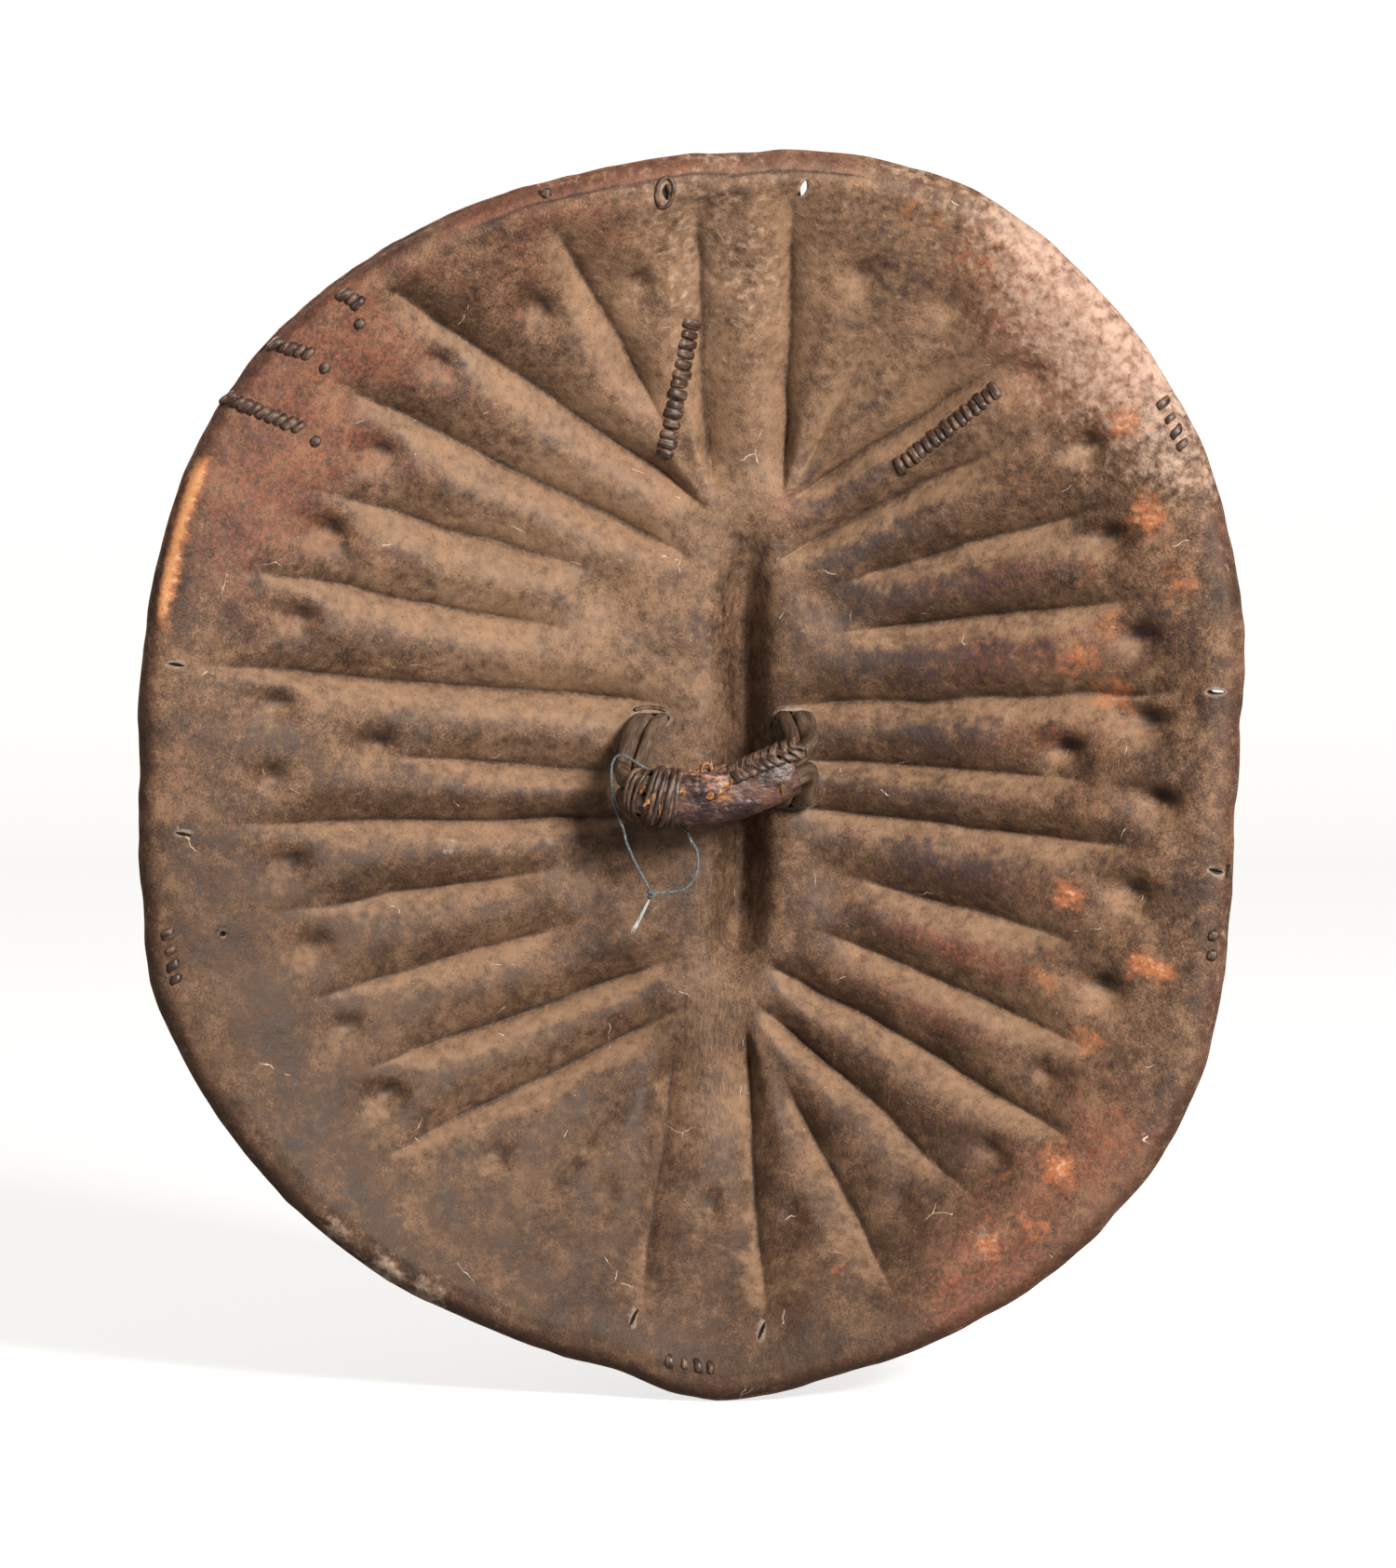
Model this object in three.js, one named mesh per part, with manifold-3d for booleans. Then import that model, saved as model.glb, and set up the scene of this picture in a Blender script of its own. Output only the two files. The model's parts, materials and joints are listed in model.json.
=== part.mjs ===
// Leather war shield, seen from the side of the hand that holds it.
// Millimetres, +Z up, +X to the holder's right, -Y towards the holder.
// The origin is the middle of the hand grip.

import * as THREE from 'three';
import { mergeVertices } from 'three/addons/utils/BufferGeometryUtils.js';
import Module from 'manifold-3d';

const wasm = await Module();
wasm.setup();

// Hide: one pressed skin, a dish with a long groove and folds that run out from it
const shieldHeight = 700;
const hideThickness = 5.5;
const gripToRimPlane = 18;
const hideRightOfGrip = 12;
const hideAboveGrip = 16;
const dishDepth = 70;
const rimSeatWidth = 7;
const rimRollWidth = 9;
const rimRollDrop = 7;
const rimEdgeBulge = 1.4;
const grooveDepth = 38;
const grooveEndLength = 55;
const foldDepth = 9;
const foldSpread = 7;
const dentDepth = 6;
const dentRadius = 9;
const hollowDepth = 6;
const hollowRadius = 19;
const panelRidgeHeight = 3;
const panelRidgeRadius = 4;
const panelRidgeDrop = 95;

// Grip: two rawhide straps, one inside the other, each a closed ring through four slits
const gripHalfSpan = 45;
const gripStandOff = 50;
const gripRise = 24;
const slitSpreadLeft = 27;
const slitSpreadRight = 24;
const outerStrapWidth = 9;
const innerStrapWidth = 6.5;
const strapThickness = 11;
const outerStrapSlitWidth = 13;
const innerStrapSlitWidth = 7.5;
const strapSlitThickness = 7;
const strapGap = 0.6;
const slitClearance = 0.9;
const frontTurnRadius = 6.5;
const frontStandOff = 1.2;
const coverThickness = 1.5;
const coverSlack = 2.3;
const seamWidth = 4;

// Thongs
const seatGap = 0.3;
const bindingWidth = 1.9;
const bindingThickness = 1.6;
const bindingPitch = 3.35;
const plaitWidth = 1.8;
const plaitThickness = 1.8;
const plaitPitch = 5.4;
const plaitReach = 7;
const tieLoopRadius = 2.8;
const tieThongThickness = 2;
const stitchThickness = 1.8;
const stitchHoleClearance = 0.7;
const stitchFaceClearance = 0.9;
const stitchWeb = 5;
const repairThongWidth = 4;
const rimThongWidth = 3.2;
const collarThickness = 2.2;
const collarHalfWidth = 9.5;
const collarRise = 2.6;
const slotCollarMargin = 2;
const knotWidth = 5.6;
const knotHeadHeight = 3;
const knotNeckWidth = 2.2;

// Slots along the rim, left from cords that once hung the shield
const rimSlotLength = 11;
const rimSlotWidth = 3.6;
const cutOverrun = 15;

// Tag string
const stringDiameter = 1.5;
const tailDiameter = 2.6;
const tagKnotWidth = 7;

const colours = { hide: 0x66503f, strap: 0x5b4a40, cover: 0x4d3a37, thong: 0x54402f, string: 0x7d8386 };

const rimPlane = -gripToRimPlane;
const halfHeight = shieldHeight / 2;
const centre = new THREE.Vector2(hideRightOfGrip, hideAboveGrip);

// Outline: [angle from +X in degrees, reach from the centre as a share of half the height]
const outlineShares = [
  [0, 0.802], [10, 0.822], [25, 0.873], [40, 0.925], [55, 0.972], [68, 1.005], [80, 1.003], [90, 0.992],
  [100, 0.989], [115, 1.0], [130, 1.016], [142, 1.014], [155, 0.993], [165, 0.97], [180, 0.953],
  [192, 0.968], [200, 0.992], [215, 0.992], [235, 0.985], [250, 0.972], [258, 0.975], [266, 1.0],
  [270, 1.006], [278, 0.983], [290, 0.965], [305, 0.942], [320, 0.912], [335, 0.857], [350, 0.806],
];

// Groove: across is where its middle lies, ends are its lowest and highest place
const grooveAcrossShare = 0.015;
const grooveEndShares = [-0.36, 0.43];
const grooveFloorShare = 0.25;
const grooveCapShare = 0.93;

// Folds, clockwise from the right edge of the top panel. Each row holds the rim angle in degrees, the place
// at the groove (across, up), where the fold starts and ends on the way to the rim, its depth, and the dent
// on the clockwise side (on the way to the rim, and from this fold to the next)
const foldShares = [
  [84.4, 0.08, 0.46, 0.03, 0.89, 1, 0.67, 0.65],
  [70, 0.09, 0.45, 0.08, 0.57, 0.5, 0.7, 0.4],
  [52.7, 0.08, 0.43, 0.06, 0.75, 1, 0.73, 0.35],
  [44.3, 0.07, 0.34, 0.04, 0.67, 1, 0.77, 0.37],
  [32.4, 0.07, 0.27, 0.19, 0.82, 0.9, 0.75, 0.32],
  [20.3, 0.07, 0.21, 0.18, 0.84, 1, 0.78, 0.4],
  [9.6, 0.07, 0.1, 0.04, 0.92, 1, 0.81, 0.3],
  [-2, 0.07, 0.02, 0.08, 0.7, 0.9, 0.84, 0.22],
  [-9.7, 0.07, -0.06, 0.06, 0.82, 0.9, 0.79, 0.4],
  [-23.1, 0.07, -0.15, 0.21, 0.7, 1, 0.75, 0.37],
  [-34.5, 0.07, -0.24, 0.15, 0.79, 0.9, 0.68, 0.5],
  [-44.8, 0.06, -0.32, 0.03, 0.84, 1, 0.67, 0.52],
  [-57.5, 0.05, -0.39, 0.03, 0.72, 1, 0.62, 0.52],
  [-71.9, 0.04, -0.43, 0.19, 0.84, 0.9, 0.53, 0.6],
  [-87, 0.02, -0.44, 0, 0.8, 1, 0.47, 0.45],
  [-99.8, -0.1, -0.44, 0.03, 0.81, 0.8, 0.51, 0.52],
  [-117.6, -0.08, -0.41, 0.25, 0.74, 0.35, 0.59, 0.57],
  [-136.1, -0.06, -0.38, 0.07, 0.78, 0.9, 0.69, 0.65],
  [-145.7, -0.05, -0.29, 0.1, 0.72, 1, 0.7, 0.55],
  [-154.8, -0.04, -0.19, 0.28, 0.78, 0.8, 0.71, 0.57],
  [-165.1, -0.04, -0.13, 0.31, 0.78, 0.8, 0.74, 0.55],
  [-175.1, -0.04, -0.08, 0.16, 0.86, 0.9, 0.77, 0.6],
  [-183.8, -0.04, -0.02, 0.17, 0.6, 0.9, 0.76, 0.57],
  [-191, -0.04, 0.1, 0.09, 0.93, 1, 0.74, 0.6],
  [-201.2, -0.04, 0.18, 0.3, 0.87, 0.9, 0.72, 0.6],
  [-210.9, -0.04, 0.26, 0.28, 0.78, 1, 0.69, 0.57],
  [-222.1, -0.04, 0.33, 0.09, 0.86, 1, 0.7, 0.65],
  [-233.5, -0.05, 0.43, 0.04, 0.98, 1, 0.67, 0.57],
  [-251, -0.05, 0.45, 0.3, 0.92, 1, 0.65, 0.45],
  [-266.2, -0.04, 0.46, 0.03, 0.9, 1, 0.62, 0.47],
];
const foldCount = foldShares.length;
const innerDentShares = [[-0.576, 0.045], [0.532, 0.037]];
const hollowShares = [[-0.2, 0.276], [0.17, 0.265], [-0.23, -0.152], [0.17, -0.177]];
const panelRidgeShare = [-0.06, 0.6];

// A fold comes up to its depth and fades again over these shares, before and after its start and its end
const foldFadeShares = { rise: [-0.08, 0.1], fall: [-0.22, 0.05] };

// Powers that round the dish and the groove's foot, and the share of the way out where the rim's flat begins
const dishPowers = { crown: 1.8, edge: 1.2 };
const grooveFootPower = 1.3;
const flatStartShare = 0.93;

// A steep place counts as no steeper than this when the skin gets its thickness
const leastSlopeShare = 0.62;

// Rows of the hide's mesh: up the groove's wall, then out to the flat of the rim
const wallRowShares = [0, 0.5];
const fieldRowShares = [0, 0.07, 0.17, 0.3, 0.45, 0.6, 0.76, 0.9];
const columnsPerFold = 3;

const smooth = (value, from, to) => THREE.MathUtils.smoothstep(value, from, to);
const shareToPlace = ([across, up]) => new THREE.Vector2(across, up).multiplyScalar(halfHeight).add(centre);

// Reach of the rim at an angle: a smooth cubic through the outline's points, closed on itself
function outlineReach(degrees) {
  const angle = THREE.MathUtils.euclideanModulo(degrees, 360);
  const count = outlineShares.length;
  let after = outlineShares.findIndex(([knot]) => knot > angle);
  if (after < 0) after = count;
  const knot = (index) => {
    const [a, share] = outlineShares[THREE.MathUtils.euclideanModulo(index, count)];
    return [a + 360 * Math.floor(index / count), share];
  };
  const [p0, p1, p2, p3] = [after - 2, after - 1, after, after + 1].map(knot);
  const width = p2[0] - p1[0];
  const t = (angle - p1[0]) / width;
  const slope1 = ((p2[1] - p0[1]) / (p2[0] - p0[0])) * width;
  const slope2 = ((p3[1] - p1[1]) / (p3[0] - p1[0])) * width;
  const t2 = t * t;
  const t3 = t2 * t;
  const share = (2 * t3 - 3 * t2 + 1) * p1[1] + (t3 - 2 * t2 + t) * slope1
    + (3 * t2 - 2 * t3) * p2[1] + (t3 - t2) * slope2;
  return share * halfHeight;
}

function rimPoint(degrees) {
  const angle = THREE.MathUtils.degToRad(degrees);
  const reach = outlineReach(degrees);
  return new THREE.Vector2(Math.cos(angle) * reach, Math.sin(angle) * reach).add(centre);
}

// A spoke runs from the groove's floor over its edge to the rim. Whole numbers are folds.
const grooveMiddle = shareToPlace([grooveAcrossShare, (grooveEndShares[0] + grooveEndShares[1]) / 2]);

function spoke(number) {
  const index = Math.floor(number);
  const part = number - index;
  const row = foldShares[THREE.MathUtils.euclideanModulo(index, foldCount)];
  const next = foldShares[THREE.MathUtils.euclideanModulo(index + 1, foldCount)];
  const turn = THREE.MathUtils.euclideanModulo(row[0] - next[0], 360);
  const root = shareToPlace([row[1], row[2]]).lerp(shareToPlace([next[1], next[2]]), part);
  const rim = rimPoint(row[0] - turn * part);
  const floor = new THREE.Vector2(
    grooveMiddle.x + (root.x - grooveMiddle.x) * grooveFloorShare,
    grooveMiddle.y + (root.y - grooveMiddle.y) * grooveCapShare,
  );
  const outwards = rim.clone().sub(root).normalize();
  return { floor, root, rim, outwards };
}

const folds = foldShares.map(([, , , from, to, depth], index) => {
  const { root, rim, outwards } = spoke(index);
  return { root, outwards, length: rim.distanceTo(root), from, to, depth };
});

const dents = foldShares.map((row, index) => {
  const { root, rim } = spoke(index + row[7]);
  return root.lerp(rim, row[6]);
}).concat(innerDentShares.map(shareToPlace));

const hollows = hollowShares.map(shareToPlace);
const panelRidge = shareToPlace(panelRidgeShare);

// How much deeper than the plain dish the skin is pressed at a place
function relief(place) {
  let depth = 0;
  for (const fold of folds) {
    const offset = place.clone().sub(fold.root);
    const along = offset.dot(fold.outwards) / fold.length;
    const across = offset.cross(fold.outwards);
    const [riseFrom, riseTo] = foldFadeShares.rise.map((share) => fold.from + share);
    const [fallFrom, fallTo] = foldFadeShares.fall.map((share) => fold.to + share);
    const strength = smooth(along, riseFrom, riseTo) * (1 - smooth(along, fallFrom, fallTo));
    depth += foldDepth * fold.depth * strength * Math.exp(-Math.abs(across) / foldSpread);
  }
  for (const dent of dents) {
    depth += dentDepth * Math.exp(-((place.distanceTo(dent) / dentRadius) ** 2));
  }
  for (const hollow of hollows) {
    depth += hollowDepth * Math.exp(-((place.distanceTo(hollow) / hollowRadius) ** 2));
  }
  const besideRidge = (place.x - panelRidge.x) / panelRidgeRadius;
  const alongRidge = (place.y - panelRidge.y) / panelRidgeDrop;
  return depth - panelRidgeHeight * Math.exp(-(besideRidge ** 2) - (2 * alongRidge) ** 4);
}

// The groove's own depth: straight walls with a round foot, shallow at both ends
function grooveProfile(wallShare, height) {
  const [low, high] = grooveEndShares.map((share) => centre.y + share * halfHeight);
  const foot = smooth(height, low, low + grooveEndLength);
  const top = smooth(height, high - grooveEndLength, high);
  return grooveDepth * foot * (1 - top) * (1 - wallShare) ** grooveFootPower;
}

function dishProfile(fieldShare) {
  return dishDepth * (1 - fieldShare ** dishPowers.crown) ** dishPowers.edge;
}

// One column of the hide's holder side, from the groove's floor to the rim's edge
function hideColumn(number) {
  const { floor, root, rim, outwards } = spoke(number);
  const points = [];
  const add = (place, depth) => points.push(new THREE.Vector3(place.x, rimPlane + depth, place.y));
  for (const share of wallRowShares) {
    const place = floor.clone().lerp(root, share);
    add(place, dishDepth + grooveProfile(share, place.y) + relief(place));
  }
  const seatInner = rim.clone().addScaledVector(outwards, -(rimRollWidth + rimSeatWidth));
  for (const share of fieldRowShares) {
    const place = root.clone().lerp(seatInner, share);
    add(place, dishProfile(share) + relief(place) * (1 - smooth(share, flatStartShare, 1)));
  }
  add(seatInner, 0);
  add(rim.clone().addScaledVector(outwards, -rimRollWidth), 0);
  add(rim.clone().addScaledVector(outwards, -rimRollWidth / 2), rimRollDrop / 4);
  add(rim, rimRollDrop);
  return { points, outwards };
}

// Turns a list of corners and triangles into a closed geometry that faces outwards
function closedGeometry(points, triangles) {
  const volume = triangles.reduce((sum, [a, b, c]) => {
    const cross = new THREE.Vector3().crossVectors(points[b], points[c]);
    return sum + points[a].dot(cross);
  }, 0);
  const index = triangles.flatMap(([a, b, c]) => (volume < 0 ? [a, c, b] : [a, b, c]));
  const geometry = new THREE.BufferGeometry().setFromPoints(points);
  geometry.setIndex(index);
  return geometry;
}

function hideGeometry() {
  const columns = [];
  for (let index = 0; index < foldCount * columnsPerFold; index++) {
    columns.push(hideColumn(index / columnsPerFold));
  }
  const rowCount = columns[0].points.length;
  const count = columns.length;
  const inner = columns.flatMap(({ points }) => points);
  const at = (column, row) => (column % count) * rowCount + row;
  const quad = (a, b, c, d) => [[a, b, c], [a, c, d]];
  const faces = [];
  for (let column = 0; column < count; column++) {
    for (let row = 0; row + 1 < rowCount; row++) {
      faces.push(...quad(at(column, row), at(column + 1, row), at(column + 1, row + 1), at(column, row + 1)));
    }
  }
  // The groove's floor closes as a zip does, from its top to its foot
  let right = 0;
  let left = count - 1;
  while (left - right > 1) {
    const takeRight = right === 0 || inner[at(right + 1, 0)].z >= inner[at(left - 1, 0)].z;
    const next = takeRight ? right + 1 : left - 1;
    faces.push([at(left, 0), at(next, 0), at(right, 0)]);
    if (takeRight) right = next;
    else left = next;
  }
  const skin = new THREE.BufferGeometry().setFromPoints(inner);
  skin.setIndex(faces.flat());
  skin.computeVertexNormals();
  const normal = skin.getAttribute('normal');
  const outer = inner.map((point, index) => {
    const slope = Math.max(Math.abs(normal.getY(index)), leastSlopeShare);
    return point.clone().add(new THREE.Vector3(0, hideThickness / slope, 0));
  });
  const edge = columns.map(({ points, outwards }) => {
    const last = points[rowCount - 1];
    const bulge = new THREE.Vector3(outwards.x * rimEdgeBulge, hideThickness / 2, outwards.y * rimEdgeBulge);
    return last.clone().add(bulge);
  });
  const shift = inner.length;
  const edgeStart = shift * 2;
  const triangles = faces.concat(faces.map(([a, b, c]) => [a + shift, c + shift, b + shift]));
  for (let column = 0; column < count; column++) {
    const next = (column + 1) % count;
    const [a, b] = [at(column, rowCount - 1), at(next, rowCount - 1)];
    const [c, d] = [edgeStart + column, edgeStart + next];
    triangles.push(...quad(a, b, d, c), ...quad(c, d, b + shift, a + shift));
  }
  return closedGeometry([...inner, ...outer, ...edge], triangles);
}

// Solids for cutting
const mergeTolerance = 1e-4;

function solidOf(geometry) {
  const bare = geometry.clone();
  bare.deleteAttribute('normal');
  bare.deleteAttribute('uv');
  const merged = mergeVertices(bare, mergeTolerance);
  const mesh = new wasm.Mesh({
    numProp: 3,
    vertProperties: new Float32Array(merged.getAttribute('position').array),
    triVerts: new Uint32Array(merged.getIndex().array),
  });
  return new wasm.Manifold(mesh);
}

function geometryOf(solid) {
  const mesh = solid.getMesh();
  const geometry = new THREE.BufferGeometry();
  geometry.setAttribute('position', new THREE.BufferAttribute(new Float32Array(mesh.vertProperties), 3));
  geometry.setIndex(new THREE.BufferAttribute(new Uint32Array(mesh.triVerts), 1));
  return geometry;
}

// The uncut hide, which every piece on it is seated against
const plainHide = hideGeometry();
const rayTarget = new THREE.Mesh(plainHide, new THREE.MeshBasicMaterial({ side: THREE.DoubleSide }));
const caster = new THREE.Raycaster();

function hideFaces(place) {
  const start = new THREE.Vector3(place.x, rimPlane - shieldHeight, place.y);
  caster.set(start, new THREE.Vector3(0, 1, 0));
  const hits = caster.intersectObject(rayTarget);
  if (hits.length < 2) return null;
  return { back: hits[0].point.y, front: hits[hits.length - 1].point.y };
}

// Carries a section along a path. Each frame has a place and the two half widths as vectors.
function sweep(frames, section, closed = false) {
  const points = frames.flatMap(({ at, wide, thick }) => section.map(
    (corner) => at.clone().addScaledVector(wide, corner.x).addScaledVector(thick, corner.y),
  ));
  const sides = section.length;
  const triangles = [];
  const last = closed ? frames.length : frames.length - 1;
  for (let ring = 0; ring < last; ring++) {
    const next = (ring + 1) % frames.length;
    for (let side = 0; side < sides; side++) {
      const beside = (side + 1) % sides;
      const [a, b] = [ring * sides + side, ring * sides + beside];
      const [c, d] = [next * sides + side, next * sides + beside];
      triangles.push([a, b, d], [a, d, c]);
    }
  }
  if (!closed) {
    const end = (frames.length - 1) * sides;
    for (const [a, b, c] of THREE.ShapeUtils.triangulateShape(section, [])) {
      triangles.push([a, c, b], [a + end, b + end, c + end]);
    }
  }
  return closedGeometry(points, triangles);
}

function roundSection(sides) {
  return Array.from({ length: sides }, (_, side) => {
    const turn = (side / sides) * 2 * Math.PI;
    return new THREE.Vector2(Math.cos(turn), Math.sin(turn));
  });
}

// A flat thong's section, with its corners a little inside the full width and thickness
const flatSectionShares = [[-1, -0.55], [0, -1], [1, -0.55], [1, 0.55], [-1, 0.55]];
const flatSection = flatSectionShares.map((corner) => new THREE.Vector2(...corner));

// Frames along a list of points: the wide side follows a given direction, square to the path
function framesAlong(points, widths, closed = false) {
  const count = points.length;
  return points.map((at, index) => {
    const before = closed ? points[(index + count - 1) % count] : points[Math.max(index - 1, 0)];
    const after = closed ? points[(index + 1) % count] : points[Math.min(index + 1, count - 1)];
    const tangent = after.clone().sub(before).normalize();
    const { direction, wide, thick } = widths(index);
    const across = direction.clone().addScaledVector(tangent, -direction.dot(tangent)).normalize();
    const rising = new THREE.Vector3().crossVectors(tangent, across).normalize();
    return { at, wide: across.multiplyScalar(wide / 2), thick: rising.multiplyScalar(thick / 2) };
  });
}

// Least gap of a wound thong to itself, measured between points more than half a turn apart
function leastSelfGap(points, width, stepsPerTurn) {
  let least = Infinity;
  points.forEach((point, index) => {
    for (let other = index + Math.ceil(stepsPerTurn / 2); other < points.length; other++) {
      least = Math.min(least, point.distanceTo(points[other]) - width);
    }
  });
  return least;
}

// Middle line of the grip, from the front of the hide through the left slits, round the bar and back
// through the right slits: [across, towards the hide, up] of the half span, the stand-off and the rise
const gripLineShares = [
  [-0.8, 1.4, 0.73], [-0.8, 1, 0.73], [-0.95, 0.62, 0.56], [-1.05, 0.31, 0.4], [-1.03, 0.13, 0.3],
  [-0.9, 0.01, 0.22], [-0.72, -0.02, 0.15], [-0.42, -0.02, 0.06], [0, -0.02, 0.06], [0.3, -0.01, 0.22],
  [0.62, 0, 0.5], [0.88, 0.05, 0.74], [1.07, 0.2, 0.93], [1.12, 0.38, 1], [1.07, 0.66, 0.97],
  [1.02, 1, 0.9], [1.02, 1.4, 0.9],
];
const spreadShares = [0.2, 0.88];

// Stations along the grip's line, closer together where it turns
const runShares = [
  0.07, 0.1, 0.13, 0.16, 0.19, 0.215, 0.235, 0.255, 0.275, 0.295, 0.315, 0.335, 0.36, 0.41, 0.47,
  0.53, 0.59, 0.64, 0.67, 0.7, 0.725, 0.75, 0.775, 0.8, 0.83, 0.865, 0.9, 0.93,
];
const gripPoints = gripLineShares.map(
  ([across, back, up]) => new THREE.Vector3(across * gripHalfSpan, back * gripStandOff, up * gripRise),
);
const gripLine = new THREE.CatmullRomCurve3(gripPoints, false, 'centripetal');
gripLine.arcLengthDivisions = 800;
const gripLength = gripLine.getLength();

// Outward direction of the grip's line, level
function gripOutwards(share) {
  const tangent = gripLine.getTangent(share);
  return new THREE.Vector3(tangent.y, -tangent.x, 0).normalize();
}

// How far the upper and lower runs have parted, from 0 in the bar to 1 at the slits
function parting(point) {
  return smooth(point.y / gripStandOff, spreadShares[0], spreadShares[1]);
}

function slitSpread(point) {
  return point.x < 0 ? slitSpreadLeft : slitSpreadRight;
}

// Sizes of both straps at a point of the grip's line
function strapSizes(point) {
  const part = parting(point);
  const { lerp } = THREE.MathUtils;
  return {
    outer: lerp(outerStrapWidth, outerStrapSlitWidth, part),
    inner: lerp(innerStrapWidth, innerStrapSlitWidth, part),
    thick: lerp(strapThickness, strapSlitThickness, part),
    split: lerp((strapThickness + strapGap) / 2, slitSpread(point), part),
  };
}

// One run of a strap between its two slits, above (1) or below (-1) the grip's line
function strapRun(isOuter, side) {
  return runShares.map((share) => {
    const point = gripLine.getPoint(share);
    const size = strapSizes(point);
    const outwards = gripOutwards(share);
    const shift = isOuter ? (size.inner + strapGap) / 2 : -(size.outer + strapGap) / 2;
    const at = point.clone().addScaledVector(outwards, shift);
    at.z += side * size.split;
    return { at, outwards, wide: isOuter ? size.outer : size.inner, thick: size.thick };
  });
}

// How far behind the hide's front a strap's bridge between two slits must lie
function frontDepth(across, up, spread) {
  const reach = (outerStrapSlitWidth + innerStrapSlitWidth + strapGap) / 2;
  let deepest = -Infinity;
  for (let step = -4; step <= 4; step++) {
    for (const offset of [-reach, 0, reach]) {
      const faces = hideFaces(new THREE.Vector2(across + offset, up + (spread * step) / 4));
      deepest = Math.max(deepest, faces.front);
    }
  }
  return deepest + strapSlitThickness / 2 + frontStandOff;
}

// The bridge on the hide's front: out of one slit, round, along, round and into the other
function strapBridge(isOuter, atLeft, side) {
  const point = atLeft ? gripPoints[0] : gripPoints[gripPoints.length - 1];
  const outwards = new THREE.Vector3(atLeft ? -1 : 1, 0, 0);
  const spread = slitSpread(point);
  const depth = frontDepth(point.x, point.z, spread);
  const shift = isOuter ? (innerStrapSlitWidth + strapGap) / 2 : -(outerStrapSlitWidth + strapGap) / 2;
  const x = point.x + outwards.x * shift;
  const wide = isOuter ? outerStrapSlitWidth : innerStrapSlitWidth;
  const frames = [];
  const arcSteps = 3;
  for (const end of [side, -side]) {
    for (let step = 0; step <= arcSteps; step++) {
      const share = end === side ? step / arcSteps : 1 - step / arcSteps;
      const turn = (share * Math.PI) / 2;
      const y = depth - frontTurnRadius * (1 - Math.sin(turn));
      const z = point.z + end * (spread - frontTurnRadius * (1 - Math.cos(turn)));
      frames.push({ at: new THREE.Vector3(x, y, z), outwards, wide, thick: strapSlitThickness });
    }
  }
  return frames;
}

function strapGeometry(isOuter) {
  const stations = [
    ...strapRun(isOuter, 1),
    ...strapBridge(isOuter, false, 1),
    ...strapRun(isOuter, -1).reverse(),
    ...strapBridge(isOuter, true, -1),
  ];
  const widths = (index) => ({ direction: stations[index].outwards, ...stations[index] });
  const frames = framesAlong(stations.map(({ at }) => at), widths, true);
  return sweep(frames, roundSection(8), true);
}

// Half widths of the bundle inside the cover, and of the cover outside
const bundleHalfWidth = (outerStrapWidth + innerStrapWidth + strapGap) / 2;
const bundleHalfHeight = strapThickness + strapGap / 2;
const coverHalfWidth = bundleHalfWidth + coverSlack + coverThickness;
const coverHalfHeight = bundleHalfHeight + coverSlack + coverThickness;
const coverStartShare = 0.35;
const coverEndShare = 0.692;
const tieLoopShare = 0.49;

// Where windings and lacing start, as shares of the grip line's length
const bindingStartShare = 0.356;
const plaitStartShare = 0.55;
const seamAngle = THREE.MathUtils.degToRad(72);
const plaitTurn = THREE.MathUtils.degToRad(14);
const barSquareness = 0.78;

// A frame of the bar: its middle, and the directions out to the holder and up
function barFrame(share) {
  const at = gripLine.getPoint(share);
  const tangent = gripLine.getTangent(share);
  const outwards = gripOutwards(share);
  const up = new THREE.Vector3().crossVectors(outwards, tangent).normalize();
  if (up.z < 0) up.negate();
  return { at, outwards, up };
}

// A round section a little squared, so that it lies close round the four straps
function barSection(angle) {
  const squared = (value) => Math.sign(value) * Math.abs(value) ** barSquareness;
  return new THREE.Vector2(squared(Math.cos(angle)), squared(Math.sin(angle)));
}

// A point around the bar: angle 0 faces the holder, a quarter turn is the top
function barPoint(share, angle, lift) {
  const { at, outwards, up } = barFrame(share);
  const corner = barSection(angle);
  return at.clone()
    .addScaledVector(outwards, corner.x * (coverHalfWidth + lift))
    .addScaledVector(up, corner.y * (coverHalfHeight + lift));
}

// The leather round the bar, a sleeve with its seam left open along the top
function coverGeometry() {
  const seamHalf = seamWidth / 2 / coverHalfHeight;
  const sides = 15;
  const section = [];
  for (const [inside, ratio] of [[false, 1], [true, 1 - coverThickness / coverHalfWidth]]) {
    for (let side = 0; side <= sides; side++) {
      const share = inside ? 1 - side / sides : side / sides;
      const angle = seamAngle + seamHalf + share * (2 * Math.PI - 2 * seamHalf);
      section.push(barSection(angle).multiplyScalar(ratio));
    }
  }
  const frames = [];
  const steps = 12;
  for (let step = 0; step <= steps; step++) {
    const share = THREE.MathUtils.lerp(coverStartShare, coverEndShare, step / steps);
    const { at, outwards, up } = barFrame(share);
    const [wide, thick] = [outwards.multiplyScalar(coverHalfWidth), up.multiplyScalar(coverHalfHeight)];
    frames.push({ at, wide, thick });
  }
  return sweep(frames, section);
}

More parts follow.
